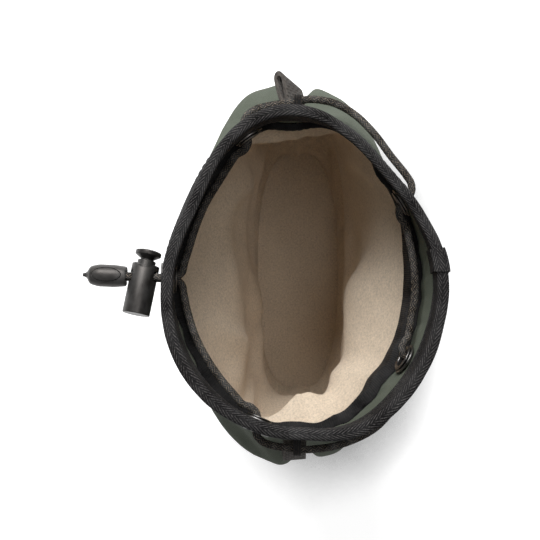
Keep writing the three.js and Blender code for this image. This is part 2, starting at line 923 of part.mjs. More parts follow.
class Helix extends THREE.Curve {
  constructor(radius, bottom, top, turns) {
    super();
    Object.assign(this, { radius, bottom, top, turns });
  }

  getPoint(u, target = new THREE.Vector3()) {
    const angle = 2 * Math.PI * this.turns * u;
    const height = this.bottom + (this.top - this.bottom) * u;
    return target.set(this.radius * Math.cos(angle), height, this.radius * Math.sin(angle));
  }
}

function springGeometry() {
  const reach = springWire / 2 + layerGap;
  const bottom = barrelFloor - barrelLength + reach;
  const top = plungerBottom - reach;
  const coilRadius = (springDiameter - springWire) / 2;
  return new THREE.ExtrudeGeometry(roundSection(springWire / 2, springSides), {
    steps: springTurnSteps * springTurnCount,
    extrudePath: new Helix(coilRadius, bottom, top, springTurnCount),
  });
}

// The barrel's top is the frame's zero, a little way up the barrel from the tails
const lockBody = new THREE.Group();
lockBody.position.y = cordDepthInBarrel;
lock.add(lockBody);
add('cord_lock_barrel', barrelGeometry(), lockPlastic, lockBody);
add('cord_lock_plunger', plungerGeometry(), lockPlastic, lockBody);
add('cord_lock_spring', springGeometry(), springSteel, lockBody);

// Cord end: its own frame, with Y along the tails and away from the pouch
const cordEnd = new THREE.Group();
cordEnd.position.copy(front.place).addScaledVector(pull, cordEndStart);
cordEnd.rotation.z = tailHeading - Math.PI / 2;
cordEnd.quaternion.premultiply(roll);
pouch.add(cordEnd);

function pillGeometry() {
  const radius = cordEndDiameter / 2;
  const tip = cordEndLength;
  const nub = cordEndNubDiameter / 2;
  return lathe([
    [0, 0],
    [cordEndMouth / 2, 0],
    [radius, cordEndLength * cordEndSwellShare],
    [radius, cordEndLength * cordEndTaperShare],
    [radius * cordEndTailGirthShare, cordEndLength * cordEndTailShare],
    [nub, tip],
    [nub / 2, tip + cordEndNub],
    [0, tip + cordEndNub],
  ]);
}

const cavityHalfHeight = slotHeight / 2;
const lidMiddle = cordEndLength / 2;

function cordEndBodyGeometry() {
  const slot = new THREE.BoxGeometry(cordDiameter + 2 * layerGap, cordEndHold + overrun, slotHeight);
  slot.translate(0, (cordEndHold - overrun) / 2, 0);
  const recessBottom = cavityHalfHeight - layerGap;
  const recessTop = cordEndDiameter / 2 + overrun;
  const recess = ovalPrism(
    cordEndLidLength + 2 * layerGap,
    cordEndLidWidth + 2 * layerGap,
    recessBottom,
    recessTop,
  );
  return cut(pillGeometry(), [slot, recess.translate(0, lidMiddle, 0)]);
}

function cordEndLidGeometry() {
  const lid = ovalPrism(
    cordEndLidLength,
    cordEndLidWidth,
    cavityHalfHeight,
    cordEndDiameter / 2 + overrun,
  ).translate(0, lidMiddle, 0);
  return toGeometry(toSolid(pillGeometry()).intersect(toSolid(lid)));
}

add('cord_end_body', cordEndBodyGeometry(), endPlastic, cordEnd);
add('cord_end_lid', cordEndLidGeometry(), endPlastic, cordEnd);

// Belt loop: a wide strap sewn to the back at both ends and standing off between them
const beltLoopTop = pouchHeight - beltLoopTopDrop;

// The wall's back face at a place across it
function backDegrees(x, height) {
  let low = 0;
  let high = 180;
  for (let i = 0; i < beltLoopSearchCount; i += 1) {
    const middle = (low + high) / 2;
    if (wallPoint(middle, height, 0).x > x) {
      low = middle;
    } else {
      high = middle;
    }
  }
  return low;
}

function standOff(height) {
  const freeLength = beltLoopTop - beltLoopBottom - 2 * beltLoopSewn;
  const free = (height - beltLoopBottom - beltLoopSewn) / freeLength;
  const s = Math.min(Math.max(free, 0), 1);
  return layerGap + beltLoopStand * Math.sin(Math.PI * s) ** beltLoopFullnessShare;
}

function beltLoopGrid(extra) {
  return Array.from({ length: beltLoopRowCount }, (_, r) => {
    const rise = (beltLoopTop - beltLoopBottom) * (r / (beltLoopRowCount - 1));
    const height = beltLoopBottom + rise;
    return Array.from({ length: beltLoopColumnCount }, (_, c) => {
      const x = beltLoopWidth * (c / (beltLoopColumnCount - 1) - 1 / 2);
      const degrees = backDegrees(x, height);
      return wallPoint(degrees, height, -standOff(height) - extra);
    });
  });
}

add('belt_loop', sheetBody(beltLoopGrid(webbingThickness), beltLoopGrid(0)), greyWebbing);

// Side loops: a strap folded double in each side seam
function foldedStrap() {
  const half = sideLoopGap / 2 + webbingThickness;
  const outline = new THREE.Shape();
  outline.moveTo(0, -half);
  outline.lineTo(sideLoopReach - half, -half);
  outline.absarc(sideLoopReach - half, 0, half, -Math.PI / 2, Math.PI / 2, false);
  outline.lineTo(0, half);
  outline.closePath();
  const gap = new THREE.Path();
  const inside = sideLoopGap / 2;
  gap.moveTo(half, inside);
  gap.lineTo(sideLoopReach - half, inside);
  gap.absarc(sideLoopReach - half, 0, inside, Math.PI / 2, -Math.PI / 2, true);
  gap.lineTo(half, -inside);
  gap.closePath();
  outline.holes.push(gap);
  const strap = new THREE.ExtrudeGeometry(outline, {
    depth: sideLoopWidth,
    steps: 1,
    curveSegments: strapSegments,
    bevelEnabled: false,
  });
  return strap.translate(0, 0, -sideLoopWidth / 2).rotateX(Math.PI / 2);
}

function sideLoop(name, degrees, swingDegrees, droopDegrees, rollDegrees) {
  const height = pouchHeight - sideLoopDrop;
  const axes = wallAxes(degrees, height);
  const swing = THREE.MathUtils.degToRad(swingDegrees);
  const droop = THREE.MathUtils.degToRad(droopDegrees);
  const mesh = add(name, foldedStrap(), greyWebbing);
  const halfStrap = sideLoopGap / 2 + webbingThickness;
  const clear =
    sideLoopStand + (sideLoopWidth / 2) * Math.sin(Math.abs(swing)) + halfStrap * Math.sin(droop);
  mesh.position.copy(wallPoint(degrees, height, 0)).addScaledVector(axes.outward, clear);
  mesh.rotation.order = 'ZYX';
  mesh.rotation.z = Math.atan2(axes.outward.y, axes.outward.x) + swing;
  mesh.rotation.y = droop;
  mesh.rotation.x = THREE.MathUtils.degToRad(rollDegrees);
}

sideLoop('side_loop_left', leftSeamDegrees, leftLoopSwingDegrees, 0, leftLoopRollDegrees);
sideLoop('side_loop_right', seamDegrees, 0, rightLoopDroopDegrees, 0);

// Cord keepers: a small loop in each seam, round the outer stretch of the cord
function keeperGeometry() {
  const inner = cordRadius + layerGap;
  const outer = inner + keeperThickness;
  const outline = new THREE.Shape();
  outline.absarc(keeperStand, 0, outer, -Math.PI / 2, Math.PI / 2, false);
  outline.lineTo(keeperSeat, outer);
  outline.lineTo(keeperSeat, -outer);
  outline.closePath();
  const eye = new THREE.Path();
  eye.absarc(keeperStand, 0, inner, 0, 2 * Math.PI, true);
  outline.holes.push(eye);
  const keeper = new THREE.ExtrudeGeometry(outline, {
    depth: keeperWidth,
    steps: 1,
    curveSegments: keeperSegments,
    bevelEnabled: false,
  });
  return keeper.translate(0, 0, -keeperWidth / 2).rotateX(Math.PI / 2);
}

function cordKeeper(name, degrees) {
  const axes = wallAxes(degrees, eyeletHeight);
  const mesh = add(name, keeperGeometry(), blackTape);
  mesh.position.copy(wallPoint(degrees, eyeletHeight, 0));
  mesh.rotation.z = Math.atan2(axes.outward.y, axes.outward.x);
}

cordKeeper('cord_keeper_left', leftSeamDegrees);
cordKeeper('cord_keeper_right', seamDegrees);

export default pouch;
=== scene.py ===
"""Padded drawstring pouch standing upright with its mouth pulled open, seen from straight above.

Laid out as an add-on: sizes and colours are properties, and each group of like pieces is an operator.
Metres, +Z up. X runs from side seam to side seam and Y from the front, where the cord lock hangs, to the
back. A place on the wall is a turn round the outline in degrees, a height and an inset from its outer face.
"""

import math

import bmesh
import bpy
import numpy as np
from bpy.props import FloatProperty, FloatVectorProperty, IntProperty, PointerProperty
from mathutils import Matrix, Vector, noise


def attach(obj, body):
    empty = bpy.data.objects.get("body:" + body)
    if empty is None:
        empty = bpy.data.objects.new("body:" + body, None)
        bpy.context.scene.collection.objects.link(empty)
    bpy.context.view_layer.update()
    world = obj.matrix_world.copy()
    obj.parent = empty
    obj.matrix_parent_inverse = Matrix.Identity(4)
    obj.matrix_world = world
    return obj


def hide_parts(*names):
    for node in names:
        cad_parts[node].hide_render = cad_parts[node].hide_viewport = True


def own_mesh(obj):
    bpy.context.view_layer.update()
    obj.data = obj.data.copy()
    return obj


bl_info = {
    "name": "Drawstring pouch",
    "version": (1, 0, 0),
    "blender": (4, 5, 0),
    "location": "View3D > Sidebar > Pouch",
    "description": "Builds a padded drawstring pouch with its cord, cord lock and stage",
    "category": "Add Mesh",
}

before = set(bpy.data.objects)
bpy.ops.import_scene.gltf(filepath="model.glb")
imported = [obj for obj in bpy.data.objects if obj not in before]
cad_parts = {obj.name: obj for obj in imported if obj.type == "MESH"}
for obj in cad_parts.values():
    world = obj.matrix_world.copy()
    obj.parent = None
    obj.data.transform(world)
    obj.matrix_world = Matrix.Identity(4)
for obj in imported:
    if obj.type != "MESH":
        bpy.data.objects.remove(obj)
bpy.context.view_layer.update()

MM = 0.001
LAYER_GAP = 0.3 * MM

# The wall's outline, as in the solids: seams, fullness and the wall's reach every 22.5 degrees
SEAM_TURN = 0.0
LEFT_SEAM_TURN = 180 - SEAM_TURN
SEAM_SPREAD = 9.0
TOP_POWER = 2.0
BODY_POWER = 2.5
MOUTH_SHARES = (
    0.99, 1.03, 1.02, 1.01, 1.0, 0.88, 0.815, 0.86, 0.955, 0.975, 0.94, 0.92, 0.975, 1.035, 1.035, 1.0,
)
NECK_SHARES = (
    0.99, 1.0, 0.99, 1.01, 1.01, 1.01, 0.99, 1.03, 1.01, 1.0, 0.96, 0.955, 0.985, 0.965, 0.97, 0.99,
)
SHOULDER_SHARES = (
    0.98, 0.96, 0.95, 0.98, 1.0, 0.98, 0.95, 0.965, 0.99, 1.035, 1.09, 1.06, 1.0, 1.08, 1.085, 1.03,
)
PLAIN_SHARES = (1.0,) * len(MOUTH_SHARES)

# Soft folds, as in the solids: turn, height, rise, spread in degrees and reach up and down, in mm
SOFT_FOLDS = (
    (27, 108, 1.5, 8, 22), (47, 106, -1.5, 8, 22), (130, 104, -1.5, 8, 20), (150, 108, 1.5, 9, 22),
    (215, 106, 1.7, 9, 22), (238, 104, -1.6, 8, 22), (262, 108, 1.6, 9, 22), (286, 104, -1.5, 8, 22),
    (311, 106, 1.7, 9, 22), (334, 106, -1.3, 8, 20), (248, 33, 1.8, 24, 16), (302, 30, 1.8, 24, 15),
    (272, 60, -1.4, 26, 12), (70, 31, 1.6, 26, 16), (120, 34, 1.8, 22, 16), (95, 58, -1.2, 26, 12),
)

# How far and how wide, in degrees, the side seams pull the padding in
SEAM_TUCK = 1.5 * MM
SEAM_TUCK_SPREAD = 1.8

# The flat facets of the solids, which the hardware and the cord sit on
FACET_TURN = 10.0
LOW_LEVEL_COUNT = 8

EYELET_TURNS = {
    "front_centre": 271.0,
    "front_left": 204.0,
    "back_left": 120.0,
    "back_right": 57.5,
    "front_right": 341.5,
}

# The two halves of the wall, between the side seams, and how far short of a seam a panel ends
BACK_TURNS = (SEAM_TURN, LEFT_SEAM_TURN)
FRONT_TURNS = (LEFT_SEAM_TURN, 360 + SEAM_TURN)
HALVES = (("front", FRONT_TURNS), ("back", BACK_TURNS))
SEAM_HOLD = 0.15
LINING_SEAM_HOLD = 0.03

# The slumped fleece: turn, height and reach of the fold's ridge, and the lean at the tape's hem, in mm
LINING_FOLD = (
    (-110, 124, 0.3, 0.1), (-40, 124, 0.5, 0.1), (-24, 124, 1.5, 0.3), (-17, 123, 5, 0.4), (-7, 121, 11, 0.5),
    (3, 119, 14.5, 0.5), (12, 117, 15.5, 0.5), (22, 115, 15.5, 0.5), (33, 112, 14, 0.4), (43, 109, 12.5, 0.4),
    (61, 103, 10, 0.4), (72, 100, 10, 0.3), (81, 98, 10, 0.3), (88, 98, 9, 0.3), (92, 99, 5, 0.3),
    (96, 104, 1, 0.2), (110, 118, 0.6, 0.2),
    (125, 118, 1, 0.1), (146, 118, 2.4, 0.1), (157, 117, 5, 0.2), (168, 116, 7.5, 0.3), (180, 116, 7, 0.4),
    (192, 116, 8.5, 0.4), (201, 117, 7, 0.3), (212, 119, 4, 0.2), (225, 122, 1, 0.1), (250, 124, 0.3, 0.1),
)
FOLD_UNDERCUT = 18 * MM
SEAM_BRIDGE_SPREAD = 24.0

# How far the seam at the fleece's top edge squeezes the foam: turn and depth, in mm
EDGE_SQUEEZE = (
    (0, 2.1), (10, 1.6), (20, 0.3), (35, 0), (50, 0.3), (60, 0), (88, 0.1), (100, 0.3), (106, 1), (113, 2),
    (120, 2.2), (160, 2.2), (170, 1.9), (180, 2), (190, 2.2), (200, 2.2), (208, 1.4), (216, 0), (262, 0),
    (270, 1.2), (278, 0), (335, 0), (345, 0.9), (352, 1.6), (360, 2.1),
)

# Where the soft shell fills out or sinks a little beyond the solids, listed as the folds are
SOFT_RELIEF = (
    (88, 168, -2.3, 24, 9), (240, 168, -2.0, 18, 9), (137, 120, 2.6, 12, 16), (174, 104, 2.2, 8, 22),
    (208, 104, -1.8, 12, 24),
)

# Creases and humps in the fleece: turn, height, climb a degree, rise, spread in degrees and spread up and
# down, in mm
LINING_CREASES = (
    (283, 64, -0.65, 5, 20, 9), (262, 104, -0.3, 2.2, 18, 7), (300, 97, 0.5, 2.5, 10, 10),
    (236, 70, 0.5, 3, 12, 9), (336, 60, 0.1, 12, 17, 20), (200, 62, -0.4, 6, 14, 18),
    (150, 80, 0.5, 4, 12, 16), (20, 52, 0.3, 5, 14, 16), (66, 66, -0.3, 3, 16, 10),
    (243, 92, 1.6, 3.6, 6, 12), (226, 96, -1.8, 3.6, 5, 12), (212, 84, 2.2, 3.2, 5, 10),
    (290, 100, -2.0, 2.8, 5, 12), (312, 92, 1.8, 3.0, 6, 12),
)

# The tape's end is lapped over its start between these turns
LAP_TURNS = (89.5, 98.0)

# How far the floor reaches from the middle, in metres
FLOOR_REACH = 20.0

# Edges that bend more than this, in radians, stay sharp on hard pieces
SHARP_ANGLE = 0.7

# Fineness of the soft surfaces
TURN_STEP = 1.25
PANEL_ROWS = 70
SETTLE_TURN_STEP = 2.5
SETTLE_ROWS = 48

# How the wall settles as cloth: its grip between the sewn edges, and how far it may move
SETTLE_GRIP = 0.16
SETTLE_LIMIT = 1.6 * MM
SETTLE_FRAMES = 20
SETTLE_SLACK = 0.02
SETTLE_PRESSURE = 0.4
SETTLE_STIFFNESS = 12.0
SETTLE_BENDING = 30.0


def length(label, words, millimetres):
    """A property that holds a length, given here in millimetres."""
    return FloatProperty(name=label, description=words, default=millimetres * MM, unit="LENGTH", precision=5)


def colour(label, words, rgb):
    """A property that holds a base colour."""
    return FloatVectorProperty(
        name=label, description=words, default=rgb, subtype="COLOR", size=3, min=0, max=1
    )


class PouchShape(bpy.types.PropertyGroup):
    """Sizes of the pouch's outline and of the layers in its wall."""

    height: length("Height", "From the table to the top edge of the shell", 165)
    mouth_width: length("Mouth width", "Across the side seams at the rim", 126)
    mouth_depth: length("Mouth depth", "From front to back at the rim", 107)
    mouth_dip: length("Mouth seam dip", "How far the seams draw in at the rim", 0.4)
    neck_drop: length("Neck drop", "From the rim down to the neck", 32)
    neck_width: length("Neck width", "Across the side seams at the neck", 129)
    neck_depth: length("Neck depth", "From front to back at the neck", 100)
    neck_shift_x: length("Neck shift sideways", "The neck's middle towards the right seam", 3)
    neck_shift_y: length("Neck shift back", "The neck's middle towards the back", -4)
    neck_dip: length("Neck seam dip", "How far the seams draw in at the neck", 1.4)
    shoulder_drop: length("Shoulder drop", "From the rim down to the widest level", 65)
    shoulder_width: length("Shoulder width", "Across the side seams at the widest level", 159)
    shoulder_depth: length("Shoulder depth", "From front to back at the widest level", 68)
    shoulder_shift: length("Shoulder shift", "The shoulders' middle towards the right seam", 2)
    shoulder_dip: length("Shoulder seam dip", "How far the seams draw in at the shoulders", 5.5)
    waist_height: length("Waist height", "Level of the waist", 62)
    waist_width: length("Waist width", "Across the side seams at the waist", 158)
    waist_depth: length("Waist depth", "From front to back at the waist", 58)
    waist_dip: length("Waist seam dip", "How far the seams draw in low down", 4.5)
    hip_height: length("Hip height", "Level of the hips", 30)
    hip_width: length("Hip width", "Across the side seams at the hips", 150)
    hip_depth: length("Hip depth", "From front to back at the hips", 56)
    base_width: length("Base width", "Across the side seams at the base", 130)
    base_depth: length("Base depth", "From front to back at the base", 53)
    base_rise: length("Base rise", "Height of the base's rounded corner", 6)
    base_dip: length("Base seam dip", "How far the seams draw in at the base", 1.5)
    fabric: length("Fabric", "Thickness of the green fabric", 1)
    foam: length("Foam", "Thickness of the foam between fabric and fleece", 3)
    fleece: length("Fleece", "Thickness of the fleece", 1.5)
    facing_depth: length("Facing depth", "How far the facing reaches down inside", 31)
    lining_drop: length("Lining drop", "From the rim down to the fleece's top edge", 28.5)


class PouchTrim(bpy.types.PropertyGroup):
    """Sizes of the tapes, the cord, the eyelets and the webbing."""

    binding_thickness: length("Binding thickness", "Thickness of the tape over the rim", 0.9)
    binding_width: length("Binding width", "How far the tape reaches down each side", 9)
    binding_pucker: length("Binding pucker", "How far the tape's hems stray", 0.35)
    tape_thickness: length("Lining tape thickness", "Thickness of the ribbed tape", 0.9)
    tape_drop: length("Lining tape width", "How far the ribbed tape hangs over the fleece", 7.3)
    eyelet_drop: length("Eyelet drop", "From the rim down to the eyelets", 19)
    eyelet_bore: length("Eyelet bore", "Width of the hole", 7)
    eyelet_flange: length("Eyelet flange", "Width of the ring", 12)
    eyelet_wall: length("Eyelet wall", "Thickness of the pressed metal", 0.5)
    eyelet_height: length("Eyelet height", "How far the ring stands out", 1)
    cord: length("Cord", "Thickness of the drawcord", 3)
    cord_relief: length("Cord relief", "How far the cord's strands stand out", 0.3)
    strand_step: length("Strand step", "Length of one crossing along the cord", 1.5)
    webbing: length("Webbing", "Thickness of the webbing", 1.4)
    belt_width: length("Belt loop width", "Width of the webbing on the back", 38)
    belt_top_drop: length("Belt loop top", "From the rim down to its upper end", 18)
    belt_bottom: length("Belt loop bottom", "Height of its lower end", 54)
    belt_sewn: length("Belt loop sewn", "Length that is sewn down at each end", 9)
    belt_stand: length("Belt loop stand", "How far its middle stands off the back", 9)
    side_width: length("Side loop width", "Width of the webbing in the side seams", 9)
    side_reach: length("Side loop reach", "How far a side loop stands out", 13)
    side_gap: length("Side loop gap", "Space inside the folded webbing", 2.4)
    side_drop: length("Side loop drop", "From the rim down to the side loops", 27)
    keeper_width: length("Keeper width", "Width of the loops that hold the cord", 3)
    keeper_thickness: length("Keeper thickness", "Thickness of the loops that hold the cord", 0.8)
    keeper_stand: length("Keeper stand", "From the wall to the middle of the held cord", 5.2)


class PouchLock(bpy.types.PropertyGroup):
    """Sizes of the cord lock and of the cord end."""

    distance: length("Lock distance", "From the front wall to the lock's middle", 8)
    oblique: FloatProperty(
        name="Lock tilt", description="How far the barrel leans from square across the cord",
        default=math.radians(8.5), subtype="ANGLE",
    )
    swing: FloatProperty(
        name="Tail swing", description="How far the tails swing from the eyelet's axis",
        default=math.radians(1.2), subtype="ANGLE",
    )
    roll: FloatProperty(
        name="Lock roll", description="How far the lock and the cord end turn about the tails",
        default=math.radians(9), subtype="ANGLE",
    )
    tail_gap: length("Tail gap", "Space between the two tails", 0.15)
    diameter: length("Barrel", "Width of the barrel", 10.6)
    barrel: length("Barrel length", "Length of the barrel", 19.4)
    wall: length("Barrel wall", "Thickness of the barrel's wall", 0.8)
    floor: length("Barrel floor", "Thickness of the barrel's closed end", 1.4)
    round: length("Barrel rounding", "Radius round the closed end", 1.2)
    depth: length("Cord depth", "From the barrel's open end to the tails", 4.8)
    notch_width: length("Notch width", "Width of the notch in the open end", 6.2)
    notch_depth: length("Notch depth", "Depth of the notch in the open end", 1.6)
    travel: length("Plunger travel", "How far the plunger can be pressed", 2)
    clearance: length("Plunger clearance", "Space round the plunger", 0.3)
    foot: length("Plunger foot", "What the plunger reaches below its slot", 2)
    shoulder: length("Plunger shoulder", "Height of the step under the neck", 2)
    shoulder_width: length("Plunger shoulder width", "Width of the step under the neck", 7)
    neck: length("Plunger neck", "Width of the neck", 5)
    button: length("Button", "Width of the button", 10)
    button_cone: length("Button cone", "Height of the button's underside", 1.5)
    button_edge: length("Button edge", "Height of the button's edge", 1.5)
    button_dome: length("Button dome", "Height of the button's top", 0.7)
    wire: length("Spring wire", "Thickness of the spring's wire", 0.8)
    spring: length("Spring", "Width of the spring", 6.4)
    spring_turns: IntProperty(name="Spring turns", description="How often the wire goes round", default=5)
    end_gap: length("Cord end gap", "Between the lock and the cord end", 1.1)
    end_length: length("Cord end length", "Length of the pill", 15.4)
    end_width: length("Cord end width", "Width of the pill", 8.6)
    end_mouth: length("Cord end mouth", "Width of the pill where the cord goes in", 7.6)
    end_hold: length("Cord end hold", "How far the cord reaches into the pill", 9)
    nub: length("Nub", "Length of the moulding nub", 1.5)
    nub_width: length("Nub width", "Width of the moulding nub", 1.8)
    lid_length: length("Lid length", "Length of the oval lid", 11)
    lid_width: length("Lid width", "Width of the oval lid", 5)


class PouchFinish(bpy.types.PropertyGroup):
    """Base colours."""

    shell: colour("Shell", "Green fabric outside and on the facing", (0.096, 0.112, 0.083))
    fleece: colour("Fleece", "Brushed lining", (0.76, 0.63, 0.485))
    tape: colour("Tape", "Binding, ribbed tape and keepers", (0.010, 0.009, 0.0095))
    # Painted highlight: the lighter colour on the binding's rib crowns stands in for light caught on them
    binding_rib_painted_highlight: colour("Binding ribs", "Crowns of the binding's ribs", (0.125, 0.115, 0.112))
    # Painted highlight: the brownish colour on the ribbed tape's crowns stands in for light caught on them
    tape_rib_painted_highlight: colour("Tape ribs", "Crowns of the ribbed tape", (0.07, 0.05, 0.034))
    webbing: colour("Webbing", "Belt loop and side loops", (0.075, 0.064, 0.055))
    cord: colour("Cord", "Braided drawcord", (0.008, 0.0075, 0.0075))
    # Painted highlight: the brown colour on the cord's strand crowns stands in for light caught on them
    cord_painted_highlight: colour("Cord highlight", "Where the cord's strands stand out", (0.3, 0.235, 0.17))
    foam: colour("Foam", "Foam between the layers", (0.045, 0.045, 0.048))
    gunmetal: colour("Gunmetal", "Plated eyelets", (0.22, 0.21, 0.205))
    lock: colour("Cord lock", "Moulded barrel and plunger", (0.009, 0.0082, 0.0076))
    cord_end: colour("Cord end", "Moulded pill", (0.016, 0.015, 0.014))
    steel: colour("Steel", "Spring wire", (0.62, 0.62, 0.63))


class PouchStage(bpy.types.PropertyGroup):
    """Floor, lamps and camera."""

    camera_distance: length("Camera distance", "From the rim up to the camera", 500)
    field: length("Field", "Width of the picture at the rim", 200)
    centre_y: length("Picture centre", "Where the middle of the picture meets Y", -13.5)
    key_power: FloatProperty(
        name="Key power", description="Large lamp at the left seam", default=18.0, unit="POWER"
    )
    fill_power: FloatProperty(
        name="Fill power", description="Weak lamp overhead", default=2.8, unit="POWER"
    )
    world_light: FloatProperty(name="Sky", description="Light from all round", default=0.13, min=0)
    floor_lift: FloatProperty(
        name="Floor lift", description="What the camera sees added to the floor", default=0.8, min=0
    )


def periodic(shares, turn):
    """A closed cubic through shares spread evenly round the outline."""
    values = np.asarray(shares)
    place = np.mod(turn, 360) * len(values) / 360
    i = np.floor(place).astype(int)
    s = place - i
    a, b, c, d = (values[(i + k) % len(values)] for k in (-1, 0, 1, 2))
    return b + 0.5 * s * (c - a + s * (2 * a - 5 * b + 4 * c - d + s * (3 * (b - c) + d - a)))


def bell(turn, spread):
    """1 at no turn, falling away on both sides."""
    off = np.mod(turn + 180, 360) - 180
    return np.exp(-((off / spread) ** 2))


def smoothstep(low, high, value):
    """0 below low and 1 above high, with soft ends."""
    s = np.clip((value - low) / (high - low), 0, 1)
    return s * s * (3 - 2 * s)


def window(turn, start, end, soft=14.0):
    """1 between two turns and 0 outside them, with soft ends."""
    middle, half = (start + end) / 2, (end - start) / 2
    off = np.abs(np.mod(turn - middle + 180, 360) - 180)
    return 1 - smoothstep(half - soft / 2, half + soft / 2, off)


def ripple(points, size, seed):
    """Soft noise at points, from about -1 to 1, with lumps of about that size."""
    flat = np.asarray(points, float).reshape(-1, 3) / size + seed * np.array((1.7, 2.3, 3.1))
    found = np.array([noise.noise(Vector(p)) for p in flat])
    return found.reshape(np.shape(points)[:-1])


class Wall:
    """The pouch's wall: the point for any turn, height and inset."""

    def __init__(self, shape, trim):
        rim = shape.height
        rows = (
            (shape.base_rise, shape.base_width, shape.base_depth, 0, 0, shape.base_dip, BODY_POWER),
            (shape.hip_height, shape.hip_width, shape.hip_depth, 0, 0, shape.waist_dip, BODY_POWER),
            (shape.waist_height, shape.waist_width, shape.waist_depth, 0, 0, shape.waist_dip, BODY_POWER),
            (
                rim - shape.shoulder_drop, shape.shoulder_width, shape.shoulder_depth,
                shape.shoulder_shift, 0, shape.shoulder_dip, BODY_POWER,
            ),
            (
                rim - shape.neck_drop, shape.neck_width, shape.neck_depth,
                shape.neck_shift_x, shape.neck_shift_y, shape.neck_dip, TOP_POWER,
            ),
            (rim, shape.mouth_width, shape.mouth_depth, 0, 0, shape.mouth_dip, TOP_POWER),
        )
        self.heights = np.array([row[0] for row in rows])
        self.values = np.array([row[1:] for row in rows])
        self.shares = (PLAIN_SHARES,) * 3 + (SHOULDER_SHARES, NECK_SHARES, MOUTH_SHARES)
        self.settled = None

        # Insets of the layers and heights of the edges, from outside to inside
        self.base_rise = shape.base_rise
        self.rim = rim
        self.facing = shape.fabric + LAYER_GAP
        self.band = self.facing + shape.fabric
        self.foam = shape.fabric + LAYER_GAP
        self.foam_inner = self.foam + shape.foam
        self.lining = self.foam_inner + LAYER_GAP
        self.lining_inner = self.lining + shape.fleece
        self.tape = self.lining_inner + LAYER_GAP
        self.tape_inner = self.tape + trim.tape_thickness
        self.facing_low = rim - shape.facing_depth
        self.lining_top = rim - shape.lining_drop
        self.tape_seat = self.lining_top + LAYER_GAP
        self.tape_top = self.tape_seat + trim.tape_thickness
        self.tape_hem = self.tape_top - trim.tape_drop
        self.binding_hem = rim - trim.binding_width
        self.floor = shape.fabric + LAYER_GAP + shape.foam + LAYER_GAP
        self.eyelets = rim - trim.eyelet_drop
        self.levels = np.array(
            [
                *np.linspace(self.base_rise, self.tape_hem, LOW_LEVEL_COUNT),
                self.facing_low,
                self.tape_top,
                (self.tape_top + self.binding_hem) / 2,
                self.binding_hem,
                rim,
            ]
        )

    def weights(self, z):
        """How much each section counts at heights z, for a smooth curve through them all."""
        h, last = self.heights, len(self.heights) - 1
        low = np.clip(np.searchsorted(h, z, side="left") - 1, 0, last - 1)
        span = h[low + 1] - h[low]
        s = np.clip((z - h[low]) / span, 0, 1)
        rise = s * s * (3 - 2 * s)
        found = np.zeros((last + 1, len(z)))
        column = np.arange(len(z))
        found[low, column] += 1 - rise
        found[low + 1, column] += rise
        for knot, lead in ((low, span * s * (1 - s) ** 2), (low + 1, -span * s * s * (1 - s))):
            before, after = np.maximum(knot - 1, 0), np.minimum(knot + 1, last)
            slope = lead / (h[after] - h[before])
            found[after, column] += slope
            found[before, column] -= slope
        return found

    def smooth(self, turn, z, inset):
        """Points of the smooth wall."""
        turn, z, inset = (np.asarray(a, float) for a in np.broadcast_arrays(turn, z, inset))
        t, height, d = turn.ravel(), z.ravel(), inset.ravel()
        w = self.weights(height)
        width, depth, shift_x, shift_y, dip, power = self.values.T @ w
        cos, sin = np.cos(np.radians(t)), np.sin(np.radians(t))
        fullness = (np.abs(cos) ** power + np.abs(sin) ** power) ** (-1 / power)
        reach = fullness * sum(w[k] * periodic(self.shares[k], t) for k in range(len(w)))
        drawn = dip * (bell(t - SEAM_TURN, SEAM_SPREAD) - bell(t - LEFT_SEAM_TURN, SEAM_SPREAD))
        for fold, level, rise, spread, extent in SOFT_FOLDS:
            above = (height - level * MM) / (extent * MM)
            d = d - rise * MM * bell(t - fold, spread) * np.exp(-(above**2))
        x = shift_x + (width / 2 - d) * reach * cos - drawn
        y = shift_y + (depth / 2 - d) * reach * sin
        return np.stack([x, y, height], -1).reshape(*turn.shape, 3)

    def faceted(self, turn, z, inset):
        """One point of the wall in the flat facets of the solids."""
        column = (turn - SEAM_TURN) / FACET_TURN
        left = math.floor(column) * FACET_TURN + SEAM_TURN
        across = column - math.floor(column)
        below = int(np.clip(np.searchsorted(self.levels, z, side="left") - 1, 0, len(self.levels) - 2))
        up = max((z - self.levels[below]) / (self.levels[below + 1] - self.levels[below]), 0)
        turns = np.array([left, left + FACET_TURN])
        low = self.smooth(turns, self.levels[below], inset)
        high = self.smooth(turns, self.levels[below + 1], inset)
        point = (low[0] * (1 - across) + low[1] * across) * (1 - up)
        point += (high[0] * (1 - across) + high[1] * across) * up
        return Vector((point[0], point[1], z))

    def axes(self, turn, z, reach):
        """Outward, along and up at a place on the wall."""
        ends = self.smooth(np.array([turn - FACET_TURN / 2, turn + FACET_TURN / 2]), z, 0)
        rise = self.smooth(turn, np.array([z - reach, z + reach]), 0)
        along = Vector(ends[1] - ends[0]).normalized()
        outward = along.cross(Vector(rise[1] - rise[0])).normalized()
        return outward, along, outward.cross(along)

    def tuck(self, turn, z):
        """How far the seams pull the padded wall in, below the band."""
        seams = bell(turn - SEAM_TURN, SEAM_TUCK_SPREAD) + bell(turn - LEFT_SEAM_TURN, SEAM_TUCK_SPREAD)
        return SEAM_TUCK * seams * smoothstep(self.binding_hem, self.facing_low, z)

    def skin(self, turn, z, inset, tucked=False):
        """Points of the soft wall, settled like cloth; its outer layers are tucked in at the seams."""
        turn, z, inset = (np.asarray(a, float) for a in np.broadcast_arrays(turn, z, inset))
        for place, level, rise, spread, extent in SOFT_RELIEF:
            swell = bell(turn - place, spread) * np.exp(-(((z - level * MM) / (extent * MM)) ** 2))
            inset = inset - rise * MM * swell
        points = self.smooth(turn, z, inset + self.tuck(turn, z) if tucked else inset)
        if self.settled is None:
            return points
        return points + self.drift(turn, z)

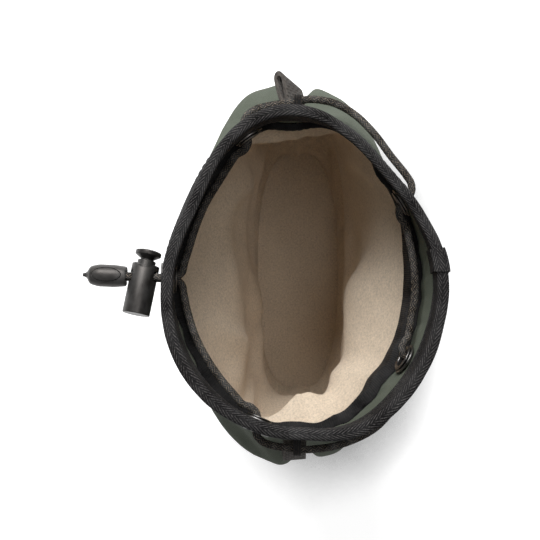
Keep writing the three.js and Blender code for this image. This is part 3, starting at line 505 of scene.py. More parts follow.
    def drift(self, turn, z):
        """The settled cloth's movement, read between the rows and columns of its grid."""
        rows, columns = self.settled.shape[:2]
        u = np.mod(turn, 360) / 360 * columns
        v = np.clip((z - self.base_rise) / (self.rim - self.base_rise), 0, 1) * (rows - 1)
        i, j = np.floor(u).astype(int) % columns, np.clip(np.floor(v).astype(int), 0, rows - 2)
        s, t = (u - np.floor(u))[..., None], (v - j)[..., None]
        right, above = (i + 1) % columns, j + 1
        field = self.settled
        low = field[j, i] * (1 - s) + field[j, right] * s
        high = field[above, i] * (1 - s) + field[above, right] * s
        return low * (1 - t) + high * t


# What one operator makes and another uses
made = {}


def the_wall():
    """The wall for the scene's sizes, made once, with its cloth settled."""
    if "wall" not in made:
        scene = bpy.context.scene
        made["wall"] = Wall(scene.pouch_shape, scene.pouch_trim)
        settle_wall(made["wall"])
    return made["wall"]


def mesh_object(name, points, faces, corner_uvs=None, sharp_angle=0.7):
    """A smooth-shaded object from points and faces, with its cut laid out flat in metres as a UV map."""
    mesh = bpy.data.meshes.new(name)
    mesh.from_pydata(np.asarray(points, float).reshape(-1, 3).tolist(), [], [tuple(f) for f in faces])
    if corner_uvs is not None:
        layer = mesh.uv_layers.new(name="Cut")
        layer.uv.foreach_set("vector", np.asarray(corner_uvs, np.float32).ravel())
    mesh.validate()
    mesh.shade_smooth()
    mesh.set_sharp_from_angle(angle=sharp_angle)
    piece = bpy.data.objects.new(name, mesh)
    bpy.context.scene.collection.objects.link(piece)
    return piece


def loft(name, rings, closed=False, sharp_angle=0.7):
    """A skin over rings of points. Open ends are closed between the two halves of their ring."""
    rings = np.asarray(rings, float)
    steps, size = rings.shape[:2]
    looped = np.concatenate([rings, rings[:1]]) if closed else rings
    along = np.r_[0, np.cumsum(np.linalg.norm(np.diff(looped, axis=0), axis=2).mean(1))]
    middle = rings[steps // 2]
    round_ring = np.linalg.norm(np.diff(np.concatenate([middle, middle[:1]]), axis=0), axis=1)
    around = np.r_[0, np.cumsum(round_ring)]
    i, j = np.meshgrid(np.arange(len(looped) - 1), np.arange(size), indexing="ij")
    i, j = i.ravel(), j.ravel()
    i2, j2 = (i + 1) % steps, (j + 1) % size
    faces = np.stack([i * size + j, i2 * size + j, i2 * size + j2, i * size + j2], -1)
    u, v = along, around
    uvs = np.stack(
        [
            np.stack([u[i], v[j]], -1), np.stack([u[i + 1], v[j]], -1),
            np.stack([u[i + 1], v[j + 1]], -1), np.stack([u[i], v[j + 1]], -1),
        ],
        1,
    ).reshape(-1, 2)
    faces, uvs = faces.tolist(), uvs.tolist()
    if not closed:
        for ring, turned in ((0, False), (steps - 1, True)):
            for k in range(size // 2 - 1):
                a, b = ring * size + k, ring * size + k + 1
                c, d = ring * size + size - 2 - k, ring * size + size - 1 - k
                faces.append((d, c, b, a) if turned else (a, b, c, d))
                uvs += [[along[ring], 0.0]] * 4
    piece = mesh_object(name, rings, faces, uvs, sharp_angle)
    face_out(piece, sharp_angle)
    return piece


def face_out(piece, sharp_angle):
    """Welds doubled points, drops faces with no width and turns all faces outwards."""
    form = bmesh.new()
    form.from_mesh(piece.data)
    bmesh.ops.remove_doubles(form, verts=form.verts, dist=0.002 * MM)
    bmesh.ops.dissolve_degenerate(form, edges=form.edges, dist=0.002 * MM)
    bmesh.ops.recalc_face_normals(form, faces=form.faces)
    if form.calc_volume(signed=True) < 0:
        bmesh.ops.reverse_faces(form, faces=form.faces)
    form.to_mesh(piece.data)
    form.free()
    piece.data.shade_smooth()
    piece.data.set_sharp_from_angle(angle=sharp_angle)


def apply_modifiers(piece):
    """Replaces a piece's mesh by what its modifiers make of it."""
    graph = bpy.context.evaluated_depsgraph_get()
    mesh = bpy.data.meshes.new_from_object(piece.evaluated_get(graph))
    old = piece.data
    piece.modifiers.clear()
    piece.data = mesh
    bpy.data.meshes.remove(old)
    return piece


def combine(piece, tools, operation="DIFFERENCE"):
    """Cuts tools out of a piece, or keeps what it shares with them, and deletes the tools."""
    for tool in tools:
        step = piece.modifiers.new("cut", "BOOLEAN")
        step.operation = operation
        step.solver = "EXACT"
        step.object = tool
    apply_modifiers(piece)
    for tool in tools:
        bpy.data.objects.remove(tool)
    face_out(piece, SHARP_ANGLE)
    return piece


def ease(piece, radius):
    """Rounds the edges that a mould would leave soft."""
    bevel = piece.modifiers.new("ease", "BEVEL")
    bevel.width = radius
    bevel.segments = 2
    bevel.limit_method = "ANGLE"
    bevel.angle_limit = math.radians(38)
    bevel.use_clamp_overlap = True
    apply_modifiers(piece)
    piece.data.shade_smooth()
    piece.data.set_sharp_from_angle(angle=SHARP_ANGLE)


def rounded(points, radius, steps, closed=False):
    """An outline with its corners rounded off."""
    points = np.asarray(points, float)
    count = len(points)
    found = [] if closed else [points[0]]
    for k in range(0 if closed else 1, count if closed else count - 1):
        before, here, after = points[k - 1], points[k], points[(k + 1) % count]
        starts = []
        for other in (before, after):
            gap = np.linalg.norm(other - here)
            starts.append(here + (other - here) * min(radius / gap, 0.45))
        for s in np.linspace(0, 1, steps + 1):
            found.append(starts[0] * (1 - s) ** 2 + 2 * here * s * (1 - s) + starts[1] * s * s)
    if not closed:
        found.append(points[-1])
    return np.array(found)


def turned(name, profile, place, segments):
    """A revolved piece: profile points are (radius, height) about the Y axis of place."""
    profile = np.asarray(profile, float)
    angle = np.linspace(0, 2 * np.pi, segments, endpoint=False)[:, None]
    rings = np.stack(
        [profile[:, 0] * np.cos(angle), profile[:, 1] + 0 * angle, profile[:, 0] * np.sin(angle)], -1
    )
    piece = loft(name, rings, closed=True, sharp_angle=SHARP_ANGLE)
    piece.data.transform(place)
    face_out(piece, SHARP_ANGLE)
    return piece


def block(size, place):
    """A plain box that cuts a slot."""
    x, y, z = (s / 2 for s in size)
    corners = [(a, b, c) for a in (-x, x) for b in (-y, y) for c in (-z, z)]
    faces = [(0, 1, 3, 2), (4, 6, 7, 5), (0, 4, 5, 1), (2, 3, 7, 6), (0, 2, 6, 4), (1, 5, 7, 3)]
    piece = mesh_object("cutter", corners, faces)
    piece.data.transform(place)
    return piece


def dress(piece, finish, slot, *solids, body="pouch"):
    """Gives a piece its finish, the body it rides on and the solids it stands for."""
    piece.data.materials.clear()
    piece.data.materials.append(finish)
    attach(piece, body)
    if solids:
        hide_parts(*solids)
    return piece


def panel(
    name, wall, turns, low, high, outer, inner, rows=PANEL_ROWS, tucked=(False, False), squeezed=False
):
    """One layer of the wall between two seams."""
    start, end = turns[0] + SEAM_HOLD, turns[1] - SEAM_HOLD
    columns = np.linspace(start, end, int((end - start) / TURN_STEP) + 1)[:, None]
    up = np.linspace(low, high, rows)
    if squeezed:
        inner = inner - edge_squeeze(wall, columns, up)
    face, back = (wall.skin(columns, up, inset, tuck) for inset, tuck in zip((outer, inner), tucked))
    return grid_sheet(name, face, back)


def settle(piece, hold):
    """Lets cloth that is cut a little larger than its place find its own folds, and returns its points.

    hold gives each point's grip, from 0, free, to 1, sewn down."""
    scene = bpy.context.scene
    group = piece.vertex_groups.new(name="hold")
    for grip in np.unique(np.round(hold, 2)):
        group.add(np.flatnonzero(np.round(hold, 2) == grip).tolist(), float(grip), "REPLACE")
    cloth = piece.modifiers.new("settle", "CLOTH")
    rules = cloth.settings
    rules.quality = 6
    rules.mass = 0.15
    rules.air_damping = 2
    rules.tension_stiffness = rules.compression_stiffness = SETTLE_STIFFNESS
    rules.shear_stiffness = SETTLE_STIFFNESS / 2
    rules.bending_stiffness = SETTLE_BENDING
    rules.vertex_group_mass = "hold"
    rules.pin_stiffness = 1.0
    rules.shrink_min = -SETTLE_SLACK
    rules.effector_weights.gravity = 0.3
    rules.use_pressure = True
    rules.uniform_pressure_force = SETTLE_PRESSURE
    cloth.collision_settings.use_collision = False
    cloth.point_cache.frame_end = SETTLE_FRAMES
    scene.frame_end = max(scene.frame_end, SETTLE_FRAMES)
    for number in range(1, SETTLE_FRAMES + 1):
        scene.frame_set(number)
    graph = bpy.context.evaluated_depsgraph_get()
    points = np.array([v.co for v in piece.evaluated_get(graph).data.vertices])
    piece.modifiers.remove(cloth)
    scene.frame_set(1)
    return points


def capped(moved, rest, limit):
    """Movement from rest to moved, no longer than limit."""
    shift = moved - rest
    size = np.linalg.norm(shift, axis=-1, keepdims=True)
    return shift * np.minimum(1, limit / np.maximum(size, 1e-9))


def tube_of_cloth(name, points):
    """A single sheet that closes on itself, from rows of points up the wall."""
    rows, columns = points.shape[:2]
    i, j = np.meshgrid(np.arange(rows - 1), np.arange(columns), indexing="ij")
    i, j = i.ravel(), j.ravel()
    after = (j + 1) % columns
    row, above = i * columns, (i + 1) * columns
    faces = np.stack([row + j, row + after, above + after, above + j], -1)
    return mesh_object(name, points, faces.tolist())


def settle_wall(wall):
    """Settles the whole padded wall as one cloth, so that every layer shares its soft folds."""
    turns = np.arange(0, 360, SETTLE_TURN_STEP)
    heights = np.linspace(wall.base_rise, wall.rim, SETTLE_ROWS)
    rest = wall.smooth(turns[None, :], heights[:, None], 0)
    cloth = tube_of_cloth("wall_cloth", rest)
    low = 1 - smoothstep(wall.base_rise, wall.base_rise + 12 * MM, heights)
    high = smoothstep(wall.facing_low, wall.binding_hem, heights)
    grip = np.clip(SETTLE_GRIP + low + high, 0, 1)[:, None] * np.ones(len(turns))
    moved = settle(cloth, grip.ravel())
    bpy.data.objects.remove(cloth)
    wall.settled = capped(moved.reshape(rest.shape), rest, SETTLE_LIMIT)


def edge_squeeze(wall, turn, z):
    """How far the fleece sits back where its edge is sewn down."""
    turns, depth = np.array(EDGE_SQUEEZE).T
    near = smoothstep(wall.tape_hem - 16 * MM, wall.tape_hem - 1 * MM, z)
    return np.interp(np.mod(turn, 360), turns, depth) * MM * near


def seam_bridge(wall, turn, z):
    """How far the slack fleece stands in on both sides of a seam, which it spans in a soft curve."""
    dip = (wall.values[:, 4] @ wall.weights(z.ravel())).reshape(z.shape)
    spans = sum(
        bell(turn - seam, SEAM_BRIDGE_SPREAD) - bell(turn - seam, SEAM_SPREAD)
        for seam in (SEAM_TURN, LEFT_SEAM_TURN)
    )
    return dip * spans * (1 - smoothstep(118 * MM, 130 * MM, z))


def lining_lean(wall, turn, z):
    """How far the fleece leans in where it has slumped into folds, creased or humped."""
    turn, z = np.broadcast_arrays(np.asarray(turn, float), np.asarray(z, float))
    place = np.mod(turn + 110, 360) - 110
    turns, *table = np.array(LINING_FOLD, float).T
    around = (-5, -2.5, 0, 2.5, 5)
    ridge, reach, hem = (
        sum(np.interp(place + off, turns, column) for off in around) / len(around) * MM for column in table
    )
    drop = np.maximum(wall.lining_top - ridge, 1 * MM)
    at_hem = np.log(np.sin((wall.lining_top - wall.tape_hem) / drop * np.pi / 2))
    steepness = np.clip(np.log(hem / reach) / at_hem, 0.7, 6)
    above = np.clip((wall.lining_top - z) / drop, 0, 1)
    below = 1 - smoothstep(0, FOLD_UNDERCUT, ridge - z)
    lean = reach * np.sin(above * np.pi / 2) ** steepness * np.where(z < ridge, below, 1)
    for middle, level, climb, rise, spread, extent in LINING_CREASES:
        off = np.mod(turn - middle + 180, 360) - 180
        crest = level + climb * off
        lean = lean + rise * MM * np.exp(-((off / spread) ** 2) - ((z / MM - crest) / extent) ** 2)
    foot = smoothstep(wall.floor + 1.6 * MM, wall.floor + 5 * MM, z)
    ends = bell(turn - SEAM_TURN, SEAM_BRIDGE_SPREAD) + bell(turn - LEFT_SEAM_TURN, SEAM_BRIDGE_SPREAD)
    cove = (1.5 + 1.8 * ends) * MM * foot * (1 - smoothstep(wall.floor + 5 * MM, wall.floor + 20 * MM, z))
    lean = lean + seam_bridge(wall, turn, z)
    return lean * smoothstep(wall.floor, wall.floor + 14 * MM, z) + cove


def braid(p, q):
    """Height of the strand on top where two sets of strands cross, each over two and under two."""
    over = np.mod(np.floor(p) - np.floor(q), 4) < 2
    across = np.where(over, p, q)
    crown = np.abs(np.sin(np.pi * np.mod(across, 1)))
    return crown ** 0.7


def drawcord_route(wall, trim, lock):
    """The drawcord's points from one tail round the mouth to the other, as in the solids."""
    height = wall.eyelets
    place = {name: wall.faceted(turn, height, 0) for name, turn in EYELET_TURNS.items()}
    axes = {name: wall.axes(turn, height, trim.eyelet_flange / 2) for name, turn in EYELET_TURNS.items()}

    def on_wall(turn, inset):
        return wall.faceted(turn, height, inset * MM)

    def at_eyelet(name, along, outward, up):
        out, beside, above = axes[name]
        return place[name] + (beside * along + out * outward + above * up) * MM

    def cross(name, towards):
        steps = ((-8, -6.8), (-4.2, -6.9), (-1.3, -5.2), (0, -1.7), (1.3, 1.8), (4.2, 3.5), (8, 3.6))
        return [at_eyelet(name, along * towards, outward, 0) for along, outward in steps]

    start, pull, roll, _ = tail_start(wall, trim, lock)
    side = roll @ Vector((0, 0, (trim.cord + lock.tail_gap) / 2))
    stand = trim.keeper_stand / MM

    def tail(distance, up):
        return start + pull * distance + side * up

    reach = lock.distance + lock.diameter / 2 + lock.end_gap + lock.end_hold - LAYER_GAP
    return [
        tail(reach, 1), tail(lock.distance, 1), tail(3 * MM, 1), tail(-3.2 * MM, 1),
        at_eyelet("front_centre", -2.2, -6.6, 1.6), at_eyelet("front_centre", -6, -7.6, 1),
        on_wall(259, 7.8), on_wall(249, 7.4), on_wall(238, 7.2), on_wall(226, 7.4), on_wall(217, 6.8),
        *cross("front_left", -1),
        on_wall(192, -4.4), on_wall(LEFT_SEAM_TURN, -stand), on_wall(175, -6.4), on_wall(166, -6.8),
        on_wall(157, -6.2), on_wall(147, -5.2), on_wall(137, -4.4),
        *reversed(cross("back_left", 1)),
        on_wall(104, 7), on_wall(93, 7.3), on_wall(81, 7.2), on_wall(72, 7),
        *cross("back_right", -1),
        on_wall(44, -4.4), on_wall(31, -5.2), on_wall(17, -4.8), on_wall(6, -5.2),
        on_wall(SEAM_TURN, -stand),
        *reversed(cross("front_right", 1)),
        on_wall(328, 6.8), on_wall(318, 7.6), on_wall(307, 7.8), on_wall(296, 7.5), on_wall(284, 7.4),
        at_eyelet("front_centre", 6, -7.6, -1), at_eyelet("front_centre", 2.2, -6.6, -1.6),
        tail(-3.2 * MM, -1), tail(3 * MM, -1), tail(lock.distance, -1), tail(reach, -1),
    ]


def tail_start(wall, trim, lock):
    """Where the tails cross the front wall's face, the way they pull, their roll and their heading."""
    turn = EYELET_TURNS["front_centre"]
    outward = wall.axes(turn, wall.eyelets, trim.eyelet_flange / 2)[0]
    heading = math.atan2(outward.y, outward.x) - lock.swing
    pull = Vector((math.cos(heading), math.sin(heading), 0))
    return wall.faceted(turn, wall.eyelets, 0), pull, Matrix.Rotation(lock.roll, 4, pull), heading


def through(points, step):
    """A smooth curve through points, as even steps along its length."""
    p = np.array([tuple(v) for v in points])
    p = np.concatenate([[2 * p[0] - p[1]], p, [2 * p[-1] - p[-2]]])
    found = []
    for a, b, c, d in zip(p, p[1:], p[2:], p[3:]):
        before, span, after = (np.linalg.norm(n - m) ** 0.5 for m, n in ((a, b), (b, c), (c, d)))
        lead = ((b - a) / before - (c - a) / (before + span) + (c - b) / span) * span
        trail = ((c - b) / span - (d - b) / (span + after) + (d - c) / after) * span
        s = np.linspace(0, 1, 24, endpoint=False)[:, None]
        rise = s * s * (3 - 2 * s)
        found.append(b * (1 - rise) + c * rise + lead * s * (1 - s) ** 2 - trail * s * s * (1 - s))
    dense = np.concatenate(found + [p[-2:-1]])
    run = np.r_[0, np.cumsum(np.linalg.norm(np.diff(dense, axis=0), axis=1))]
    even = np.linspace(0, run[-1], int(run[-1] / step) + 1)
    return np.stack([np.interp(even, run, dense[:, k]) for k in range(3)], 1)


def frames_along(path):
    """Side and upward directions that follow a path without turning about it."""
    heading = np.gradient(path, axis=0)
    heading /= np.linalg.norm(heading, axis=1, keepdims=True)
    side = np.cross(heading[0], (0, 0, 1.0))
    sides = []
    for direction in heading:
        side = side - direction * side.dot(direction)
        side /= np.linalg.norm(side)
        sides.append(side)
    sides = np.array(sides)
    return sides, np.cross(sides, heading)


def sweep(name, path, section, sharp_angle=0.7):
    """A piece with the same section all along a path; section holds side and upward offsets."""
    sides, ups = frames_along(path)
    section = np.asarray(section, float)
    rings = path[:, None] + section[..., 0, None] * sides[:, None] + section[..., 1, None] * ups[:, None]
    return loft(name, rings, sharp_angle=sharp_angle)


def circle(radius, sides):
    """A round section."""
    angle = np.arange(sides) * 2 * np.pi / sides
    return np.stack([radius * np.cos(angle), radius * np.sin(angle)], 1)


def dish(name, wall, profile, step=2.5):
    """A closed bowl that follows the wall's lowest outline: profile points are inset, height and share."""
    profile = np.array(profile)
    turns = np.arange(0, 360, step)[:, None]
    rings = wall.smooth(turns, wall.base_rise, profile[:, 0])
    middle = wall.smooth(turns, wall.base_rise, 0).mean(0)
    rings = middle + (rings - middle) * profile[:, 2][None, :, None]
    rings[..., 2] = profile[:, 1]
    return loft(name, rings, closed=True)


def corner(radius, inset, steps=6):
    """The base's rounded corner as inset, height and share, from below to its top."""
    angle = np.linspace(0, np.pi / 2, steps)
    reach = radius - inset
    return [(inset + reach * (1 - np.sin(a)), inset + reach * (1 - np.cos(a)), 1) for a in angle]


def grid_sheet(name, face, back):
    """A sheet with thickness from two grids of rows, closed round its edges."""
    return loft(name, np.concatenate([face, back[:, ::-1]], 1))


def thread_run(name, points, normals, pitch, girth, sink=0.35):
    """A row of stitches along points: short round floats that dip at both ends."""
    points, normals = np.asarray(points, float), np.asarray(normals, float)
    run = np.r_[0, np.cumsum(np.linalg.norm(np.diff(points, axis=0), axis=1))]
    count = max(int(run[-1] / pitch), 1)
    stations = np.array([-0.38, -0.3, -0.1, 0.1, 0.3, 0.38]) * pitch
    swell = np.array([0.55, 0.95, 1.1, 1.1, 0.95, 0.55]) * girth / 2
    lift = np.array([-0.9, 0, 0.35, 0.35, 0, -0.9]) * girth * sink
    all_points, all_faces = [], []
    around = np.arange(6) * np.pi / 3
    for number in range(count):
        at = (number + 0.5) * run[-1] / count + stations
        centre = np.stack([np.interp(at, run, points[:, k]) for k in range(3)], 1)
        normal = np.stack([np.interp(at, run, normals[:, k]) for k in range(3)], 1)
        normal /= np.linalg.norm(normal, axis=1, keepdims=True)
        heading = centre[-1] - centre[0]
        side = np.cross(heading / np.linalg.norm(heading), normal)
        centre = centre + normal * lift[:, None]
        ring = (
            centre[:, None]
            + (np.cos(around) * swell[:, None])[..., None] * side[:, None]
            + (np.sin(around) * swell[:, None])[..., None] * normal[:, None]
        )
        base = len(all_points) * 36
        all_points.append(ring.reshape(-1, 3))
        for i in range(5):
            for j in range(6):
                k = (j + 1) % 6
                here = base + i * 6
                all_faces.append((here + j, here + k, here + 6 + k, here + 6 + j))
        all_faces.append(tuple(base + j for j in reversed(range(6))))
        all_faces.append(tuple(base + 30 + j for j in range(6)))
    piece = mesh_object(name, np.concatenate(all_points), all_faces)
    face_out(piece, 0.9)
    return piece


def node(tree, kind, inputs=None, **settings):
    """Adds a node; its inputs are plain values or other nodes' outputs."""
    added = tree.nodes.new(kind)
    for key, value in settings.items():
        setattr(added, key, value)
    for key, value in (inputs or {}).items():
        if isinstance(value, bpy.types.NodeSocket):
            tree.links.new(value, added.inputs[key])
        else:
            added.inputs[key].default_value = value
    return added


def maths(tree, operation, *values, clamp=False):
    """The result of one sum on plain values or outputs."""
    added = node(tree, "ShaderNodeMath", dict(enumerate(values)), operation=operation)
    added.use_clamp = clamp
    return added.outputs[0]


def mixed(tree, factor, first, second, blend="MIX"):
    """A colour between two colours."""
    added = node(tree, "ShaderNodeMix", {0: factor}, data_type="RGBA", blend_type=blend)
    for socket, value in ((6, first), (7, second)):
        if isinstance(value, bpy.types.NodeSocket):
            tree.links.new(value, added.inputs[socket])
        else:
            added.inputs[socket].default_value = (*value[:3], 1)
    return added.outputs[2]


def ranged(tree, value, low, high, to_low=0.0, to_high=1.0):
    """A value moved from one range to another, held within it."""
    added = node(tree, "ShaderNodeMapRange", {0: value, 1: low, 2: high, 3: to_low, 4: to_high})
    return added.outputs[0]


def grain(tree, vector, scale, detail=3.0, roughness=0.55):
    """Soft noise from 0 to 1."""
    inputs = {"Vector": vector, "Scale": scale, "Detail": detail, "Roughness": roughness}
    return node(tree, "ShaderNodeTexNoise", inputs).outputs["Fac"]


def node_group(name, inputs, outputs, build):
    """A shader node group with named sockets, built once."""
    if name in bpy.data.node_groups:
        return bpy.data.node_groups[name]
    tree = bpy.data.node_groups.new(name, "ShaderNodeTree")
    for label, kind, default in inputs:
        socket = tree.interface.new_socket(name=label, in_out="INPUT", socket_type=f"NodeSocket{kind}")
        if default is not None:
            socket.default_value = default
    for label, kind in outputs:
        tree.interface.new_socket(name=label, in_out="OUTPUT", socket_type=f"NodeSocket{kind}")
    entry = tree.nodes.new("NodeGroupInput")
    leave = tree.nodes.new("NodeGroupOutput")
    for label, value in build(tree, entry.outputs).items():
        tree.links.new(value, leave.inputs[label])
    return tree


def use(tree, group, inputs):
    """Places a group in a material and returns its outputs."""
    return node(tree, "ShaderNodeGroup", inputs, node_tree=group).outputs


def plain_weave():
    """Threads over and under each other, on the cut's own directions."""

    def build(tree, entry):
        xyz = node(tree, "ShaderNodeSeparateXYZ", {0: entry["Vector"]}).outputs
        u = maths(tree, "DIVIDE", xyz[0], entry["Thread"])
        v = maths(tree, "DIVIDE", xyz[1], entry["Thread"])
        parity = maths(tree, "ADD", maths(tree, "FLOOR", u), maths(tree, "FLOOR", v))
        over = maths(tree, "PINGPONG", parity, 1.0)
        crowns = [
            maths(tree, "ABSOLUTE", maths(tree, "SINE", maths(tree, "MULTIPLY", w, math.pi))) for w in (u, v)
        ]
        lifted = maths(tree, "MULTIPLY", crowns[1], over)
        under = maths(tree, "MULTIPLY", crowns[0], maths(tree, "SUBTRACT", 1.0, over))
        height = maths(tree, "ADD", lifted, under)
        uneven = grain(tree, entry["Vector"], 900.0, 2.0)
        shade = maths(tree, "MULTIPLY", height, ranged(tree, uneven, 0.3, 0.7, 0.6))
        return {"Height": height, "Shade": shade}

    inputs = (("Vector", "Vector", None), ("Thread", "Float", 0.0005))
    return node_group("Plain weave", inputs, (("Height", "Float"), ("Shade", "Float")), build)


def herringbone():
    """Slanting ribs that turn back at each column."""

    def build(tree, entry):
        xyz = node(tree, "ShaderNodeSeparateXYZ", {0: entry["Vector"]}).outputs
        folded = maths(tree, "PINGPONG", xyz[1], entry["Column"])
        slanted = maths(tree, "MULTIPLY", folded, entry["Slant"])
        phase = maths(tree, "DIVIDE", maths(tree, "ADD", xyz[0], slanted), entry["Rib"])
        wave = maths(tree, "SINE", maths(tree, "MULTIPLY", phase, 2 * math.pi))
        ribs = ranged(tree, wave, -1.0, 1.0)
        share = maths(tree, "DIVIDE", folded, entry["Column"])
        off_middle = maths(tree, "ABSOLUTE", maths(tree, "SUBTRACT", share, 0.5))
        edge = ranged(tree, off_middle, 0.36, 0.5, 1.0, 0.45)
        yarn = ranged(tree, grain(tree, entry["Vector"], 1400.0, 2.0), 0.32, 0.68, 0.3)
        height = maths(tree, "MULTIPLY", ribs, edge)
        return {"Height": height, "Shade": maths(tree, "MULTIPLY", height, yarn)}

    inputs = (
        ("Vector", "Vector", None),
        ("Rib", "Float", 0.001),
        ("Column", "Float", 0.002),
        ("Slant", "Float", 1.0),
    )
    return node_group("Herringbone", inputs, (("Height", "Float"), ("Shade", "Float")), build)


def nap():
    """Brushed fibres: fine speckle, soft tufts and the height of both."""

    def build(tree, entry):
        speck = grain(tree, entry["Vector"], entry["Scale"], 4.0, 0.7)
        soft = grain(tree, entry["Vector"], maths(tree, "MULTIPLY", entry["Scale"], 0.22), 3.0)
        height = maths(tree, "ADD", maths(tree, "MULTIPLY", speck, 0.6), maths(tree, "MULTIPLY", soft, 0.4))
        speckle = ranged(tree, speck, 0.32, 0.68)
        return {"Speckle": speckle, "Tuft": ranged(tree, soft, 0.3, 0.7), "Height": height}

    inputs = (("Vector", "Vector", None), ("Scale", "Float", 1300.0))
    outputs = (("Speckle", "Float"), ("Tuft", "Float"), ("Height", "Float"))
    return node_group("Nap", inputs, outputs, build)


def mottle():
    """Slow, uneven change of a colour, lighter and darker."""

    def build(tree, entry):
        slow = ranged(tree, grain(tree, entry["Vector"], entry["Scale"], 4.0), 0.3, 0.7)
        dark = mixed(tree, entry["Amount"], entry["Color"], (0, 0, 0))
        light = mixed(tree, entry["Amount"], entry["Color"], (1, 1, 1), "SCREEN")
        lifted = mixed(tree, 0.35, entry["Color"], light)
        return {"Color": mixed(tree, slow, dark, lifted), "Value": slow}

    inputs = (
        ("Color", "Color", None),
        ("Vector", "Vector", None),
        ("Scale", "Float", 60.0),
        ("Amount", "Float", 0.2),
    )
    return node_group("Mottle", inputs, (("Color", "Color"), ("Value", "Float")), build)


def edge_wear():
    """Where corners have rubbed pale: outward edges broken up by noise."""

    def build(tree, entry):
        point = node(tree, "ShaderNodeNewGeometry").outputs["Pointiness"]
        edge = ranged(tree, point, 0.51, 0.56)
        patch = ranged(tree, grain(tree, entry["Vector"], entry["Scale"], 5.0, 0.7), 0.42, 0.62)
        return {"Mask": maths(tree, "MULTIPLY", maths(tree, "MULTIPLY", edge, patch), entry["Amount"])}

    inputs = (("Vector", "Vector", None), ("Scale", "Float", 500.0), ("Amount", "Float", 0.5))
    return node_group("Edge wear", inputs, (("Mask", "Float"),), build)


def lint():
    """Pale specks and short fibres caught on a surface."""

    def build(tree, entry):
        stretched = node(tree, "ShaderNodeMapping", {"Vector": entry["Vector"], "Scale": (1.0, 0.25, 1.0)})
        inputs = {"Vector": stretched.outputs[0], "Scale": entry["Scale"], "Randomness": 1.0}
        cells = node(tree, "ShaderNodeTexVoronoi", inputs).outputs
        speck = ranged(tree, cells["Distance"], 0.0, 0.12, 1.0, 0.0)
        chosen = node(tree, "ShaderNodeSeparateColor", {0: cells["Color"]}).outputs[0]
        few = maths(tree, "LESS_THAN", chosen, entry["Amount"])
        return {"Mask": maths(tree, "MULTIPLY", speck, few)}

    inputs = (("Vector", "Vector", None), ("Scale", "Float", 350.0), ("Amount", "Float", 0.08))
    return node_group("Lint", inputs, (("Mask", "Float"),), build)


def braided():
    """Two sets of strands round a cord, each over two and under two."""

    def build(tree, entry):
        xyz = node(tree, "ShaderNodeSeparateXYZ", {0: entry["Vector"]}).outputs
        along = maths(tree, "DIVIDE", xyz[0], entry["Step"])
        around = maths(tree, "DIVIDE", xyz[1], entry["Strand"])
        p = maths(tree, "ADD", around, along)
        q = maths(tree, "SUBTRACT", around, along)
        lead = maths(tree, "SUBTRACT", maths(tree, "FLOOR", p), maths(tree, "FLOOR", q))
        over = maths(tree, "LESS_THAN", maths(tree, "FLOORED_MODULO", lead, 4.0), 1.5)
        crowns = [
            maths(tree, "ABSOLUTE", maths(tree, "SINE", maths(tree, "MULTIPLY", w, math.pi))) for w in (p, q)
        ]
        top = maths(tree, "MULTIPLY", crowns[0], over)
        low = maths(tree, "MULTIPLY", crowns[1], maths(tree, "SUBTRACT", 1.0, over))
        height = maths(tree, "POWER", maths(tree, "ADD", top, low), 0.7)
        yarn = ranged(tree, grain(tree, entry["Vector"], 1600.0, 2.0, 0.7), 0.35, 0.65, 0.8)
        return {"Height": height, "Shade": maths(tree, "MULTIPLY", height, yarn)}

    inputs = (("Vector", "Vector", None), ("Step", "Float", 0.0015), ("Strand", "Float", 0.00118))
    return node_group("Braid", inputs, (("Height", "Float"), ("Shade", "Float")), build)


def start_material(name, roughness, **constants):
    """A material with its shader; constants are set on the shader's own sockets."""
    material = bpy.data.materials.new(name)
    material.use_nodes = True
    tree = material.node_tree
    shader = tree.nodes["Principled BSDF"]
    shader.inputs["Roughness"].default_value = roughness
    for label, value in constants.items():
        shader.inputs[label.replace("_", " ")].default_value = value
    return material, tree, shader


def places(tree):
    """The cut's flat directions and the place on the object."""
    return node(tree, "ShaderNodeTexCoord").outputs["UV"], node(tree, "ShaderNodeTexCoord").outputs["Object"]


def raise_surface(tree, shader, height, distance, strength=1.0):
    """Feeds a height to the shader's normal."""
    bump = node(tree, "ShaderNodeBump", {"Height": height, "Distance": distance, "Strength": strength})
    tree.links.new(bump.outputs[0], shader.inputs["Normal"])


def scaled(rgb, share):
    """A colour made darker or lighter."""
    return tuple(min(channel * share, 1) for channel in rgb)


def shell_fabric(rgb):
    """Matte green fabric: a fine weave, faint clouding and a few fibres."""
    material, tree, shader = start_material(
        "Green fabric", 0.86, Sheen_Weight=0.12, Sheen_Roughness=0.5, Sheen_Tint=(0.85, 0.92, 0.74, 1),
        Specular_IOR_Level=0.25,
    )
    cut, place = places(tree)
    weave = use(tree, plain_weave(), {"Vector": cut, "Thread": 0.00042})
    thread = mixed(tree, weave["Shade"], scaled(rgb, 0.72), scaled(rgb, 1.18))
    cloud = use(tree, mottle(), {"Color": thread, "Vector": place, "Scale": 70.0, "Amount": 0.10})
    fine = use(tree, nap(), {"Vector": place, "Scale": 1500.0})
    speckled = mixed(tree, maths(tree, "MULTIPLY", fine["Speckle"], 0.22), cloud["Color"], scaled(rgb, 1.5))
    fibres = use(tree, lint(), {"Vector": place, "Scale": 260.0, "Amount": 0.03})
    pale = mixed(tree, maths(tree, "MULTIPLY", fibres["Mask"], 0.5), speckled, (0.45, 0.47, 0.42))
    tree.links.new(pale, shader.inputs["Base Color"])
    tree.links.new(ranged(tree, cloud["Value"], 0, 1, 0.8, 0.93), shader.inputs["Roughness"])
    height = maths(tree, "ADD", weave["Height"], maths(tree, "MULTIPLY", fine["Tuft"], 0.8))
    raise_surface(tree, shader, height, 0.08 * MM, 0.7)
    return material


